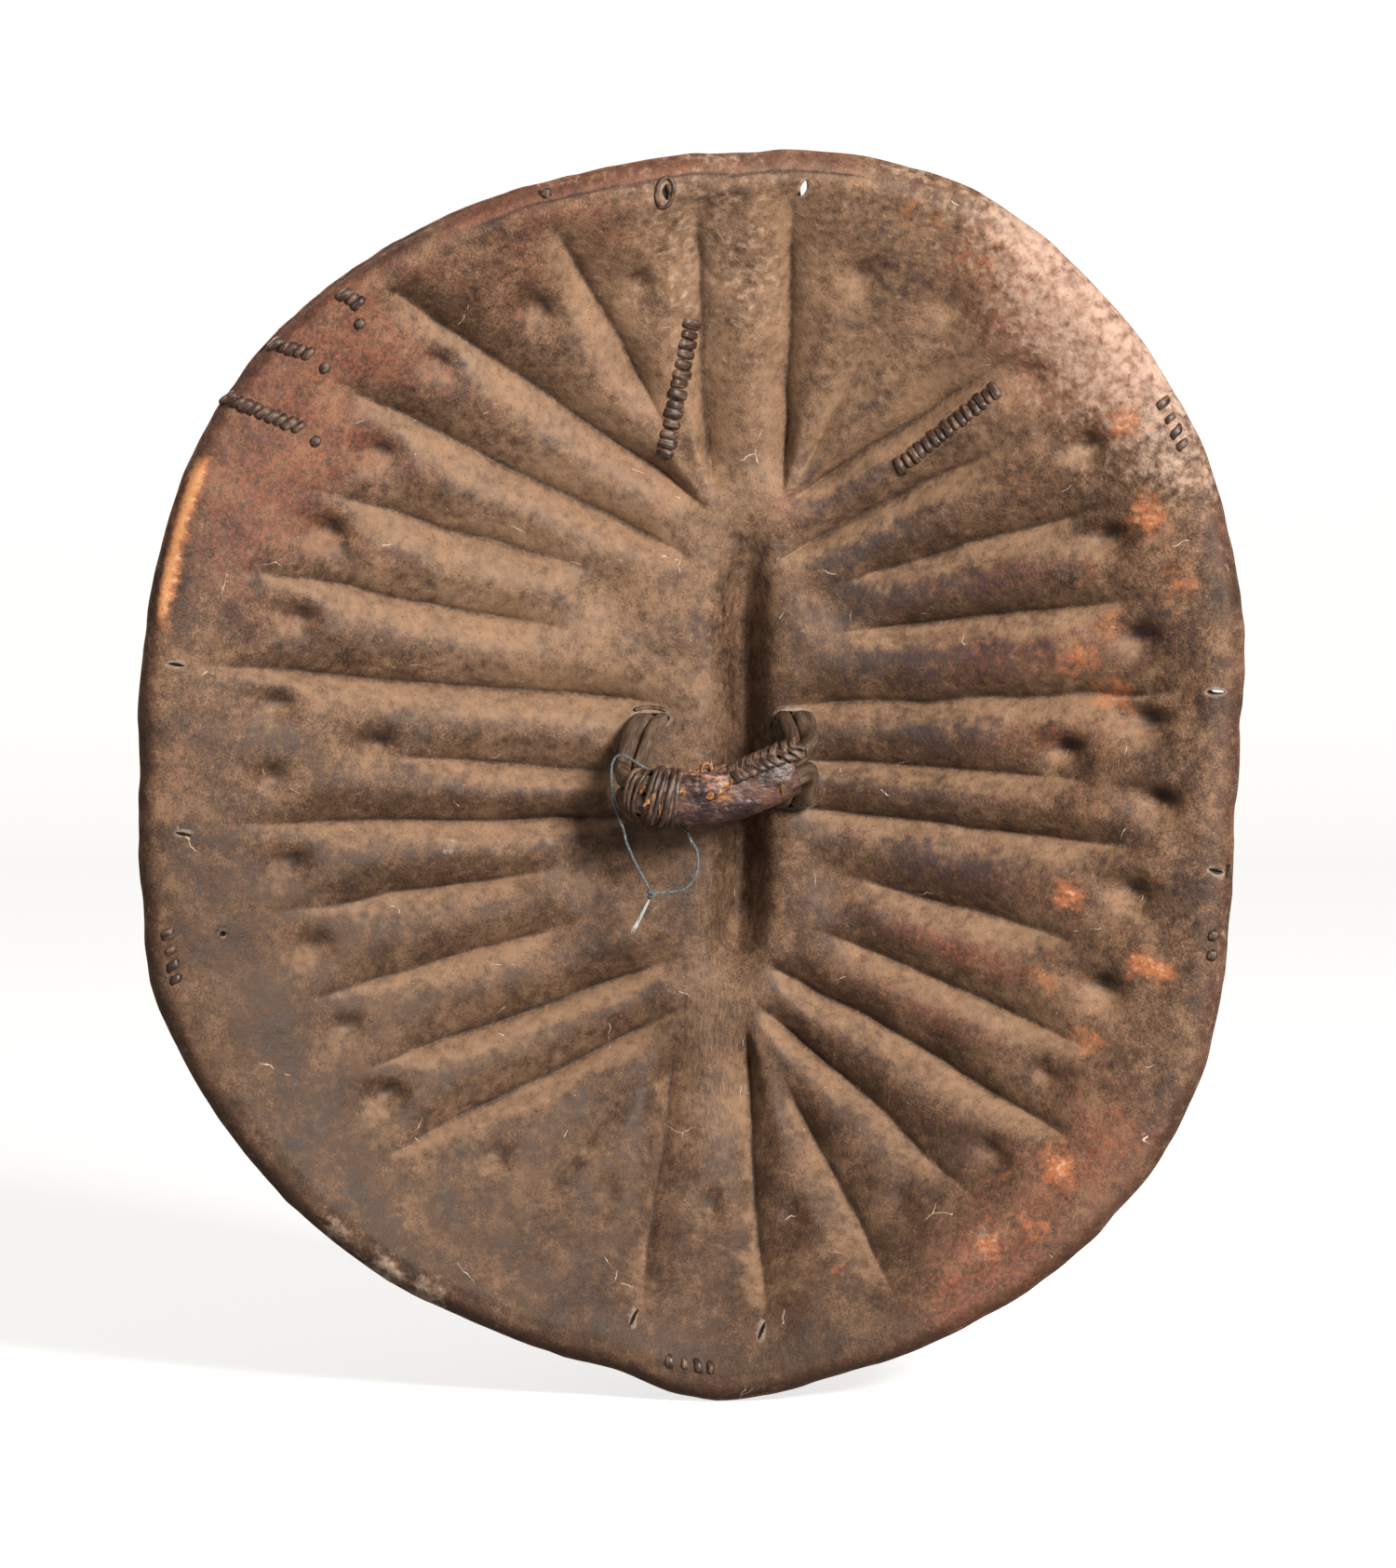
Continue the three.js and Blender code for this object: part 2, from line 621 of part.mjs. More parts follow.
// Thong wound round the bar's left end
function endBindingGeometry() {
  const turns = 5;
  const stepsPerTurn = 14;
  const lift = seatGap + bindingThickness / 2;
  const points = [];
  for (let step = 0; step <= turns * stepsPerTurn; step++) {
    const along = (bindingPitch * step) / stepsPerTurn;
    const share = gripLine.getUtoTmapping(bindingStartShare + along / gripLength);
    points.push(barPoint(share, Math.PI + (2 * Math.PI * step) / stepsPerTurn, lift));
  }
  const gap = leastSelfGap(points, bindingWidth, stepsPerTurn);
  console.log('end binding, least gap to itself', gap.toFixed(2), 'mm');
  const direction = gripLine.getTangentAt(bindingStartShare + (bindingPitch * turns) / 2 / gripLength);
  const frames = framesAlong(points, () => ({ direction, wide: bindingWidth, thick: bindingThickness }));
  return sweep(frames, roundSection(6));
}

// Thong laced to and fro across the seam on the bar's right half
function plaitGeometry() {
  const crossings = 12;
  const stepsPerCrossing = 4;
  const lift = seatGap + plaitThickness / 2;
  const swing = plaitReach / coverHalfHeight;
  const middleAngle = seamAngle - plaitTurn;
  const points = [];
  for (let step = 0; step <= crossings * stepsPerCrossing; step++) {
    const along = ((plaitPitch / 2) * step) / stepsPerCrossing;
    const share = gripLine.getUtoTmapping(plaitStartShare + along / gripLength);
    const sway = -Math.cos((Math.PI * step) / stepsPerCrossing);
    points.push(barPoint(share, middleAngle + sway * swing, lift));
  }
  const direction = gripLine.getTangentAt((plaitStartShare + coverEndShare) / 2);
  const frames = framesAlong(points, () => ({ direction, wide: plaitWidth, thick: plaitThickness }));
  return sweep(frames, roundSection(5));
}

// Thong whipped over a closed tear. Each turn goes through the hide on both sides of the tear.
const stitchSquareness = 0.6;

function whipStitch({ from, to, turns, web, width }) {
  const stepsPerTurn = 8;
  const line = to.clone().sub(from);
  const forwards = line.clone().normalize();
  const across = new THREE.Vector2(-line.y, line.x).normalize();
  const halfWeb = web / 2;
  const reach = halfWeb + stitchHoleClearance + stitchThickness / 2;
  const squared = (value) => Math.sign(value) * Math.abs(value) ** stitchSquareness;
  const points = [];
  for (let step = 0; step <= turns * stepsPerTurn; step++) {
    const place = from.clone().addScaledVector(line, step / (turns * stepsPerTurn));
    const turn = (2 * Math.PI * step) / stepsPerTurn;
    const found = [];
    for (const ahead of [-width / 2, 0, width / 2]) {
      for (const beside of [-halfWeb, 0, halfWeb]) {
        const spot = place.clone().addScaledVector(forwards, ahead).addScaledVector(across, beside);
        const faces = hideFaces(spot);
        if (faces) found.push(faces);
      }
    }
    const back = Math.min(...found.map((face) => face.back)) - stitchFaceClearance - stitchThickness / 2;
    const front = Math.max(...found.map((face) => face.front)) + stitchFaceClearance + stitchThickness / 2;
    place.addScaledVector(across, squared(Math.cos(turn)) * reach);
    const depth = (back + front) / 2 - (squared(Math.sin(turn)) * (front - back)) / 2;
    points.push(new THREE.Vector3(place.x, depth, place.y));
  }
  const direction = new THREE.Vector3(forwards.x, 0, forwards.y);
  const frames = framesAlong(points, () => ({ direction, wide: width, thick: stitchThickness }));
  const gap = leastSelfGap(points, width, stepsPerTurn);
  console.log('whip stitch, least gap to itself', gap.toFixed(2), 'mm');
  return sweep(frames, flatSection);
}

// A cutter that goes right through the hide: a box with its length along a direction
function throughCutter(place, length, width, angle) {
  const box = new THREE.BoxGeometry(length, shieldHeight, width);
  box.rotateY(-angle);
  box.translate(place.x, 0, place.y);
  return solidOf(box);
}

// The two slots in which a whip stitch goes through the hide. A tear at the rim is open there.
function stitchSlots({ from, to, web, open }) {
  const forwards = to.clone().sub(from).normalize();
  const across = new THREE.Vector2(-forwards.y, forwards.x);
  const slot = stitchThickness + 2 * stitchHoleClearance;
  const start = from.clone().addScaledVector(forwards, open ? -cutOverrun : -slot);
  const end = to.clone().addScaledVector(forwards, slot);
  return [-1, 1].map((side) => {
    const middle = start.clone().lerp(end, 1 / 2).addScaledVector(across, (side * (web + slot)) / 2);
    return throughCutter(middle, start.distanceTo(end), slot, forwards.angle());
  });
}

// Whipped tears and small stitches: from (across, up), to (across, up), and turns
const repairShares = {
  upper_left_repair_lacing: [[-0.07, 0.725], [-0.115, 0.5], 14],
  upper_right_repair_lacing: [[0.42, 0.616], [0.26, 0.486], 15],
};
const rimRepairShares = {
  rim_repair_lacing_low: [[-0.812, 0.604], [-0.69, 0.553], 9],
  rim_repair_lacing_mid: [[-0.738, 0.69], [-0.672, 0.672], 5],
  rim_repair_lacing_high: [[-0.626, 0.77], [-0.594, 0.75], 3],
};
const smallStitchShares = {
  bottom_stitches: [[-0.11, -0.941], [-0.021, -0.956], 4],
  left_rim_stitches: [[-0.91, -0.249], [-0.893, -0.347], 4],
  right_rim_stitches: [[0.681, 0.6], [0.722, 0.511], 4],
};
const stitches = {};
function addStitches(shares, width, open) {
  for (const [name, [from, to, turns]] of Object.entries(shares)) {
    stitches[name] = { from: shareToPlace(from), to: shareToPlace(to), turns, web: stitchWeb, width, open };
  }
}
addStitches(repairShares, repairThongWidth, false);
addStitches(rimRepairShares, rimThongWidth, true);
addStitches(smallStitchShares, rimThongWidth, false);

// Stopper knots: a thong through one hole, knotted on both sides
const knotShares = {
  top_rim_knot: [-0.302, 0.93],
  high_repair_knot: [-0.6, 0.722],
  mid_repair_knot: [-0.656, 0.652],
  low_repair_knot: [-0.672, 0.534],
  right_rim_knot_upper: [0.766, -0.256],
  right_rim_knot_lower: [0.764, -0.288],
};
const knotFootShare = 0.8;
const knotPlaces = Object.entries(knotShares).map(([name, share]) => [name, shareToPlace(share)]);

function knotGeometry(place) {
  const half = knotWidth / 2;
  const neck = knotNeckWidth / 2;
  const around = roundSection(12).map((corner) => hideFaces(place.clone().addScaledVector(corner, half)));
  const faces = [hideFaces(place), ...around].filter(Boolean);
  const near = Math.min(...faces.map(({ back }) => back)) - seatGap;
  const far = Math.max(...faces.map(({ front }) => front)) + seatGap;
  const foot = half * knotFootShare;
  const profile = [
    [0, near - knotHeadHeight], [half, near - knotHeadHeight / 2], [foot, near], [neck, near],
    [neck, far], [foot, far], [half, far + knotHeadHeight / 2], [0, far + knotHeadHeight],
  ].map(([radius, depth]) => new THREE.Vector2(radius, depth));
  const geometry = new THREE.LatheGeometry(profile, 7);
  geometry.translate(place.x, 0, place.y);
  return geometry;
}

// Slots near the rim: [across, up, angle in degrees]
const rimSlotShares = [
  [-0.112, 0.931, 80], [0.109, 0.938, 75], [-0.894, 0.177, 0], [-0.883, -0.094, 0],
  [0.767, 0.133, 0], [0.77, -0.155, -20], [-0.164, -0.874, 88], [0.042, -0.896, 84],
];

// Thong ring that lies round a slot on the holder's side
function slotCollarGeometry([across, up, degrees]) {
  const place = shareToPlace([across, up]);
  const angle = THREE.MathUtils.degToRad(degrees);
  const reach = collarThickness / 2 + slotCollarMargin;
  const points = roundSection(16).map((corner) => {
    const size = new THREE.Vector2(rimSlotLength / 2 + reach, rimSlotWidth / 2 + reach);
    const spot = corner.multiply(size).rotateAround(new THREE.Vector2(), angle).add(place);
    return new THREE.Vector3(spot.x, hideFaces(spot).back - seatGap - collarThickness / 2, spot.y);
  });
  const widths = { direction: new THREE.Vector3(0, 1, 0), wide: collarThickness, thick: collarThickness };
  return sweep(framesAlong(points, () => widths, true), roundSection(6), true);
}

// Thong that lies over the left upper slit, above the strap
const collarEndAngle = THREE.MathUtils.degToRad(12);

function slitCollarGeometry() {
  const slit = new THREE.Vector2(gripPoints[0].x, gripPoints[0].z + slitSpreadLeft);
  const edge = slit.y + strapSlitThickness / 2 + slitClearance;
  const steps = 10;
  const points = Array.from({ length: steps + 1 }, (_, step) => {
    const turn = THREE.MathUtils.lerp(collarEndAngle, Math.PI - collarEndAngle, step / steps);
    const x = slit.x + Math.cos(turn) * collarHalfWidth;
    const ups = [0, collarThickness / 2, collarThickness];
    const seats = ups.map((up) => hideFaces(new THREE.Vector2(x, edge + up)).back);
    const y = Math.min(...seats) - seatGap - collarThickness / 2;
    return new THREE.Vector3(x, y, edge + Math.sin(turn) * collarRise);
  });
  const widths = { direction: new THREE.Vector3(0, 1, 0), wide: collarThickness, thick: collarThickness };
  return sweep(framesAlong(points, () => widths), roundSection(6));
}

// Loop of thong that stands in the cover's open seam
function tieLoopGeometry() {
  const { outwards } = barFrame(tieLoopShare);
  const ring = new THREE.TorusGeometry(tieLoopRadius, tieThongThickness / 2, 6, 10);
  const at = barPoint(tieLoopShare, seamAngle, tieLoopRadius + tieThongThickness / 2 - seatGap);
  ring.rotateX(Math.PI / 2);
  ring.rotateZ(Math.atan2(outwards.y, outwards.x) + Math.PI / 2);
  ring.translate(at.x, at.y, at.z);
  return ring;
}

// Tag string: two ends of one grey cord knotted below the grip, hung over its left end.
// The route is a list of places in millimetres. It swings below the hinge height.
const hitchRoute = [
  [-50.2, 7.5, -18.95], [-51, 7.5, -15.6], [-52.6, 7.5, -11.4], [-55.4, 7.5, -3.6], [-57, 7.5, 5], [-57.6, 7.5, 14],
  [-57.2, 7.5, 21], [-54.8, 7.3, 25.4], [-50.6, 7, 26], [-46, 6.6, 23.6], [-42, 6.4, 20.8],
  [-38.4, 7.4, 18.8], [-35, 10, 17], [-31.4, 13.2, 11.4], [-28, 14.4, 4], [-24.6, 14, -4],
  [-20.6, 12, -11.4], [-17, 9.2, -15.2], [-14.8, 7.7, -17.2], [-14.3, 7.5, -18.95],
];
const loopRoute = [
  [-50.2, 7.5, -20], [-49.6, 7.5, -22], [-47.2, 7.5, -28], [-44.4, 7.5, -34.4], [-40.4, 7.5, -42],
  [-36.6, 7.5, -49], [-34.6, 7.5, -52], [-31, 7.5, -51.6], [-27, 7.5, -51], [-21.6, 7.5, -50.8],
  [-16.6, 7.5, -49.4], [-12, 7.5, -45], [-9.4, 7.5, -39], [-8.9, 7.5, -33], [-10, 7.5, -26.6],
  [-12.8, 7.5, -22.4], [-14.2, 7.5, -20],
];
const tagKnotPlace = [-34.9, 7.5, -52.6];
const tailRoute = [[-36.8, 7.5, -55.9], [-39.2, 7.5, -61], [-42.6, 7.5, -67.6], [-46.4, 7.5, -74.6]];

function cordGeometry(route, diameter, steps) {
  const places = route.map((place) => new THREE.Vector3(...place));
  const curve = new THREE.CatmullRomCurve3(places, false, 'centripetal');
  const section = new THREE.Shape(roundSection(8).map((corner) => corner.multiplyScalar(diameter / 2)));
  return new THREE.ExtrudeGeometry(section, { steps, bevelEnabled: false, extrudePath: curve });
}

// The free loop's ends are round about the swing's axis, so that they turn clear of the hitch
function loopGeometry() {
  const tube = cordGeometry(loopRoute, stringDiameter, 34);
  const ends = [loopRoute[0], loopRoute[loopRoute.length - 1]].map((place) => {
    const ball = new THREE.SphereGeometry(stringDiameter / 2, 8, 6);
    return solidOf(ball.translate(...place));
  });
  return geometryOf(ends.reduce((whole, end) => whole.add(end), solidOf(tube)));
}

// The knot is a lump with the cord's way through it left free
function tagKnotGeometry() {
  const lump = new THREE.IcosahedronGeometry(tagKnotWidth / 2, 1);
  lump.translate(...tagKnotPlace);
  const way = cordGeometry(loopRoute.slice(3, 10), stringDiameter + 2 * seatGap, 16);
  return geometryOf(solidOf(lump).subtract(solidOf(way)));
}

const shield = new THREE.Group();
function addPiece(name, geometry, colour, roughness = 0.8) {
  const material = new THREE.MeshStandardMaterial({ color: colour, roughness, metalness: 0 });
  const mesh = new THREE.Mesh(geometry, material);
  mesh.name = name;
  shield.add(mesh);
  return mesh;
}

// Hide with its slits, slots and stitch holes cut
let hide = solidOf(plainHide);
const slitWidth = outerStrapSlitWidth + innerStrapSlitWidth + strapGap + 2 * slitClearance;
const slitHeight = strapSlitThickness + 2 * slitClearance;
for (const point of [gripPoints[0], gripPoints[gripPoints.length - 1]]) {
  for (const side of [1, -1]) {
    const place = new THREE.Vector2(point.x, point.z + side * slitSpread(point));
    hide = hide.subtract(throughCutter(place, slitWidth, slitHeight, 0));
  }
}
for (const [across, up, degrees] of rimSlotShares) {
  const angle = THREE.MathUtils.degToRad(degrees);
  hide = hide.subtract(throughCutter(shareToPlace([across, up]), rimSlotLength, rimSlotWidth, angle));
}
for (const stitch of Object.values(stitches)) {
  for (const slot of stitchSlots(stitch)) hide = hide.subtract(slot);
}
for (const [, place] of knotPlaces) {
  const radius = knotNeckWidth / 2 + seatGap;
  const hole = new THREE.CylinderGeometry(radius, radius, shieldHeight, 8);
  hole.translate(place.x, 0, place.y);
  hide = hide.subtract(solidOf(hole));
}
addPiece('hide_shell', geometryOf(hide), colours.hide);

addPiece('outer_grip_strap', strapGeometry(true), colours.strap, 0.5);
addPiece('inner_grip_strap', strapGeometry(false), colours.strap, 0.5);
addPiece('grip_cover', coverGeometry(), colours.cover, 0.45);
addPiece('left_end_binding', endBindingGeometry(), colours.thong, 0.6);
addPiece('seam_plait', plaitGeometry(), colours.thong, 0.6);
addPiece('cover_tie_loop', tieLoopGeometry(), colours.thong, 0.6);
addPiece('slit_collar', slitCollarGeometry(), colours.thong, 0.6);
addPiece('rim_slot_collar', slotCollarGeometry(rimSlotShares[0]), colours.thong, 0.6);
for (const [name, stitch] of Object.entries(stitches)) addPiece(name, whipStitch(stitch), colours.thong, 0.6);
for (const [name, place] of knotPlaces) addPiece(name, knotGeometry(place), colours.thong, 0.6);

// Tag string, which swings about a level line below the grip
addPiece('tag_string_hitch', cordGeometry(hitchRoute, stringDiameter, 36), colours.string, 0.9);
addPiece('tag_string_loop', loopGeometry(), colours.string, 0.9);
addPiece('tag_knot', tagKnotGeometry(), colours.string, 0.9);
addPiece('tag_tail', cordGeometry(tailRoute, tailDiameter, 6), colours.string, 0.9);

export default shield;
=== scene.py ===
import json
import numpy as np
import bpy
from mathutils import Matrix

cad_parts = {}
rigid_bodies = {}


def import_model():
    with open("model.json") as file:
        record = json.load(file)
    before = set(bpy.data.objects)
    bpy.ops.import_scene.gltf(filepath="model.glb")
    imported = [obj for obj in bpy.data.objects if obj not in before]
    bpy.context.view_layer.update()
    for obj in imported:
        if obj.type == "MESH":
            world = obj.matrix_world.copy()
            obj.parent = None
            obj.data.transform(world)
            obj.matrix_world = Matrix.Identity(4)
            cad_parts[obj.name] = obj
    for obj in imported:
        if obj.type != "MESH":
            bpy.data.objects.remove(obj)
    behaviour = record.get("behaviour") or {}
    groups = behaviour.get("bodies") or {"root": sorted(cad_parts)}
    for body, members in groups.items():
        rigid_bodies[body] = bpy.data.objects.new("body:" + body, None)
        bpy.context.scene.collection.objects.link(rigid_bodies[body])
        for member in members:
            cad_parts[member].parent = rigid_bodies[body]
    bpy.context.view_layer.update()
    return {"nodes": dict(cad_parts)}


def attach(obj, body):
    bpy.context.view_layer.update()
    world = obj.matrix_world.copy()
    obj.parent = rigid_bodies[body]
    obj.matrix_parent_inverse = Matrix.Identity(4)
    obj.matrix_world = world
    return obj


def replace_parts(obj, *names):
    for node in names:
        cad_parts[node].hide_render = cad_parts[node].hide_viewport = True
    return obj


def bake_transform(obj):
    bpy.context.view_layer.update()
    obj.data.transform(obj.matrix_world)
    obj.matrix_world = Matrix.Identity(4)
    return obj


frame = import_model()
mm = 0.001  # every size below is in millimetres, and turns to metres when a mesh is made
print("frame loaded:", len(frame["nodes"]), "nodes")

# Camera, straight at the holder's side and a little above it
camera = {"focus": (-8.9, -18, 11.2), "distance": 5000, "rise": 3.0, "viewHeight": 878.2, "sensorHeight": 36}

rise = np.radians(camera["rise"])
cameraData = bpy.data.cameras.new("photoCamera")
cameraData.sensor_fit = "VERTICAL"
cameraData.sensor_height = camera["sensorHeight"]
cameraData.lens = camera["sensorHeight"] * camera["distance"] / camera["viewHeight"]
cameraData.clip_end = 20
photoCamera = bpy.data.objects.new("photoCamera", cameraData)
bpy.context.collection.objects.link(photoCamera)
away = np.array([0, -np.cos(rise), np.sin(rise)]) * camera["distance"]
photoCamera.location = (np.array(camera["focus"]) + away) * mm
photoCamera.rotation_euler = (np.pi / 2 - rise, 0, 0)
bpy.context.scene.camera = photoCamera
print("camera set")


# From 0 below low to 1 above high, as 3t² - 2t³ between
def smoothstep(value, low, high):
    share = np.clip((value - low) / (high - low), 0, 1)
    return share * share * (3 - 2 * share)


# A hill of height 1 round zero: e to the minus square of the value
def hill(value):
    return np.exp(-value ** 2)


def unit(vectors):  # each vector divided by its own length
    return vectors / np.maximum(np.linalg.norm(vectors, axis=-1, keepdims=True), 1e-9)


def stacked(*parts):  # arrays broadcast to one shape, side by side as the last axis
    return np.stack(np.broadcast_arrays(*parts), -1)


def inSpace(flat, depth):  # (x, z) and a depth, as (x, y, z)
    return stacked(flat[..., 0], depth, flat[..., 1])


# Cosine and sine of a turn, each raised to a power with its sign kept, which squares a circle a little
def circle(turn, power=1.0):
    return [np.sign(wave) * np.abs(wave) ** power for wave in (np.cos(turn), np.sin(turn))]


def turned(across, up, degrees):  # a flat offset, turned anticlockwise
    tilt = np.radians(degrees)
    return across * np.cos(tilt) - up * np.sin(tilt), across * np.sin(tilt) + up * np.cos(tilt)


# Random values on a lattice with cells of the given size, blended by smoothstep, from -1 to 1
def noise(places, size, seed=0):
    scaled = np.asarray(places, float) / size
    cell = np.floor(scaled).astype(np.int64)
    part = scaled - cell
    part = part * part * (3 - 2 * part)
    total = np.zeros(scaled.shape[:-1])
    for corner in np.ndindex(*(2,) * scaled.shape[-1]):
        mixed = ((cell + corner) * (374761393, 668265263, 974634777)[:len(corner)]).sum(-1) + seed * 69069
        mixed = (mixed ^ (mixed >> 13)) * 1274126177 & 0xFFFFFFFF
        mixed = (mixed ^ (mixed >> 16)) & 0xFFFF
        total += np.where(corner, part, 1 - part).prod(-1) * (mixed / 32767.5 - 1)
    return total


# Place on the centripetal cubic through the knots, where share 0 is the first knot and share 1 the last
def alongKnots(knots, shares):
    knots = np.asarray(knots, float)
    padded = np.vstack([2 * knots[0] - knots[1], knots, 2 * knots[-1] - knots[-2]])
    whole = np.clip(np.asarray(shares), 0, 1) * (len(knots) - 1)
    first = np.minimum(whole.astype(int), len(knots) - 2)
    part = (whole - first)[:, None]
    p0, p1, p2, p3 = (padded[first + step] for step in range(4))
    d0, d1, d2 = (np.linalg.norm(b - a, axis=1)[:, None] ** 0.5 for a, b in ((p0, p1), (p1, p2), (p2, p3)))
    slope1 = ((p1 - p0) / d0 - (p2 - p0) / (d0 + d1) + (p2 - p1) / d1) * d1
    slope2 = ((p2 - p1) / d1 - (p3 - p1) / (d1 + d2) + (p3 - p2) / d2) * d1
    square = (3 * (p2 - p1) - 2 * slope1 - slope2) * part ** 2
    return p1 + slope1 * part + square + (2 * (p1 - p2) + slope1 + slope2) * part ** 3


def walked(points):  # distance along a line of points, from 0
    return np.concatenate([[0], np.cumsum(np.linalg.norm(np.diff(points[:, :3], axis=0), axis=1))])


# The rows of a table of stations, set again at the given distances along its first three columns
def stationsAt(table, distances):
    at = walked(table)
    return np.stack([np.interp(distances, at, column) for column in table.T], 1)


def evenly(table, spacing):
    length = walked(table)[-1]
    return stationsAt(table, np.linspace(0, length, max(int(length / spacing), 2) + 1))


# Mesh, object, finish and body of one piece. Faces are arrays of corners, three or four in a row.
def addPiece(name, points, faces, finish, body="root", marks=None):
    mesh = bpy.data.meshes.new(name)
    corners = np.concatenate([group.ravel() for group in faces])
    sizes = np.concatenate([np.full(len(group), group.shape[1]) for group in faces])
    mesh.vertices.add(len(points))
    mesh.vertices.foreach_set("co", (np.asarray(points) * mm).ravel())
    mesh.loops.add(len(corners))
    mesh.loops.foreach_set("vertex_index", corners.astype(np.int32))
    mesh.polygons.add(len(sizes))
    mesh.polygons.foreach_set("loop_start", (np.cumsum(sizes) - sizes).astype(np.int32))
    mesh.update(calc_edges=True)
    mesh.validate()
    mesh.shade_smooth()
    piece = bpy.data.objects.new(name, mesh)
    bpy.context.collection.objects.link(piece)
    setMarks(mesh, marks or {})
    if finish:
        mesh.materials.append(finish)
        if body:
            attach(piece, body)
    return piece


def setMarks(mesh, marks):  # one value or vector for each vertex, which the materials read by name
    for name, values in marks.items():
        isVector = values.ndim == 2
        kind, field = ("FLOAT_VECTOR", "vector") if isVector else ("FLOAT", "value")
        mesh.attributes.new(name, kind, "POINT").data.foreach_set(field, values.astype(np.float32).ravel())


# Faces of a grid of rings: a ring closes on itself, and the last ring meets the first if the grid is closed
def ringFaces(rings, sides, closed=False):
    ring, side = np.meshgrid(np.arange(rings if closed else rings - 1), np.arange(sides), indexing="ij")
    here, after, beside = ring * sides, (ring + 1) % rings * sides, (side + 1) % sides
    return stacked(here + side, here + beside, after + beside, after + side).reshape(-1, 4)


# A tube round a path: place + cos(turn) · half width + sin(turn) · half thickness, both a little squared.
# Its ends are round: a section shrinks as a quarter circle over its own half thickness.
# Marks: straight is (distance along, across, over) in millimetres, for fibres that follow the piece.
def tube(path, direction, wide, thick, sides=14, squareness=1.0, closed=False, relief=None, spacing=0.8):
    count = len(path)
    sizes = [np.broadcast_to(size, count)[:, None] for size in (wide, thick)]
    table = np.hstack([path, np.broadcast_to(direction, (count, 3)), *sizes])
    if closed:
        table = np.vstack([table, table[:1]])
    length = walked(table)[-1]
    if closed:
        distances = np.linspace(0, length, int(length / spacing) + 1)[:-1]
        shrink = np.ones(len(distances))
    else:
        first, final = table[[0, -1], 7] / 2
        rounding = np.radians([4, 18, 34, 50, 66, 80])
        middle = np.linspace(first, length - final, max(int(length / spacing), 3))
        distances = np.concatenate([
            first * (1 - np.cos(rounding)), middle, length - final * (1 - np.cos(rounding[::-1]))])
        shrink = np.concatenate([np.sin(rounding), np.ones(len(middle)), np.sin(rounding[::-1])])
    table = stationsAt(table, distances)
    at = table[:, :3]
    tangent = unit(np.roll(at, -1, 0) - np.roll(at, 1, 0) if closed else np.gradient(at, axis=0))
    across = unit(table[:, 3:6] - (table[:, 3:6] * tangent).sum(1)[:, None] * tangent)
    over = unit(np.cross(tangent, across))
    turn = np.arange(sides) / sides * 2 * np.pi
    halfWide, halfThick = ((table[:, column] / 2 * shrink)[:, None] for column in (6, 7))
    flat, upright = circle(turn, squareness)
    flat, upright = flat * halfWide, upright * halfThick
    outwards = flat[..., None] * across[:, None] + upright[..., None] * over[:, None]
    straight = stacked(distances[:, None], flat, upright)
    points = at[:, None] + outwards
    if relief is not None:
        points = points + unit(outwards) * (relief(straight, turn) * shrink[:, None])[..., None]
    faces = [ringFaces(len(distances), sides, closed)]
    points, straight = points.reshape(-1, 3), straight.reshape(-1, 3)
    if not closed:
        last, side = len(points), np.arange(sides)
        beside = (side + 1) % sides
        faces += [stacked(last, beside, side), stacked(last + 1, last - sides + side, last - sides + beside)]
        points = np.vstack([points, path[:1], path[-1:]])
        straight = np.vstack([straight, [[0, 0, 0], [length, 0, 0]]])
    return points, faces, {"straight": straight}


strandShift = (97.0, 0, 0)  # along, from one tube to the next, so that no two show the same fibres


def addTubes(name, finish, slot, *tubes, body="root"):  # one or more tubes as one piece
    points, faces, marks, shift = [], [], [], 0
    for number, (tubePoints, tubeFaces, tubeMarks) in enumerate(tubes):
        faces += [group + shift for group in tubeFaces]
        points.append(tubePoints)
        marks.append(tubeMarks["straight"] + np.array(strandShift) * number)
        shift += len(tubePoints)
    return addPiece(name, np.vstack(points), faces, finish, body, {"straight": np.vstack(marks)})


# Finishes
def linear(hexColour):  # sRGB hex to the linear values that a shader takes
    values = np.array([int(hexColour[start:start + 2], 16) for start in (1, 3, 5)]) / 255
    values = np.where(values <= 0.04045, values / 12.92, ((values + 0.055) / 1.055) ** 2.4)
    return (*values, 1.0)


# Adds one node and gives one of its outputs. A setting is a value of the node itself, a value of one of its
# sockets, or another node's output, which is then linked to that socket.
def addNode(tree, kind, settings, output=0):
    node = tree.nodes.new("ShaderNode" + kind)
    for name, value in settings.items():
        if name == "ramp":
            stops = node.color_ramp.elements
            for index, (place, hexColour) in enumerate(value):
                stop = stops[index] if index < len(stops) else stops.new(place)
                stop.position, stop.color = place, linear(hexColour)
        elif isinstance(value, bpy.types.NodeSocket):
            tree.links.new(value, node.inputs[name])
        elif isinstance(name, str) and hasattr(node, name):
            setattr(node, name, value)
        else:
            node.inputs[name].default_value = value
    return node.outputs[output] if node.outputs else None


def newMaterial(name):
    material = bpy.data.materials.new(name)
    material.use_nodes = True
    material.node_tree.nodes.clear()
    return material, material.node_tree


def addSurface(tree, settings):
    addNode(tree, "OutputMaterial", {"Surface": addNode(tree, "BsdfPrincipled", settings)})


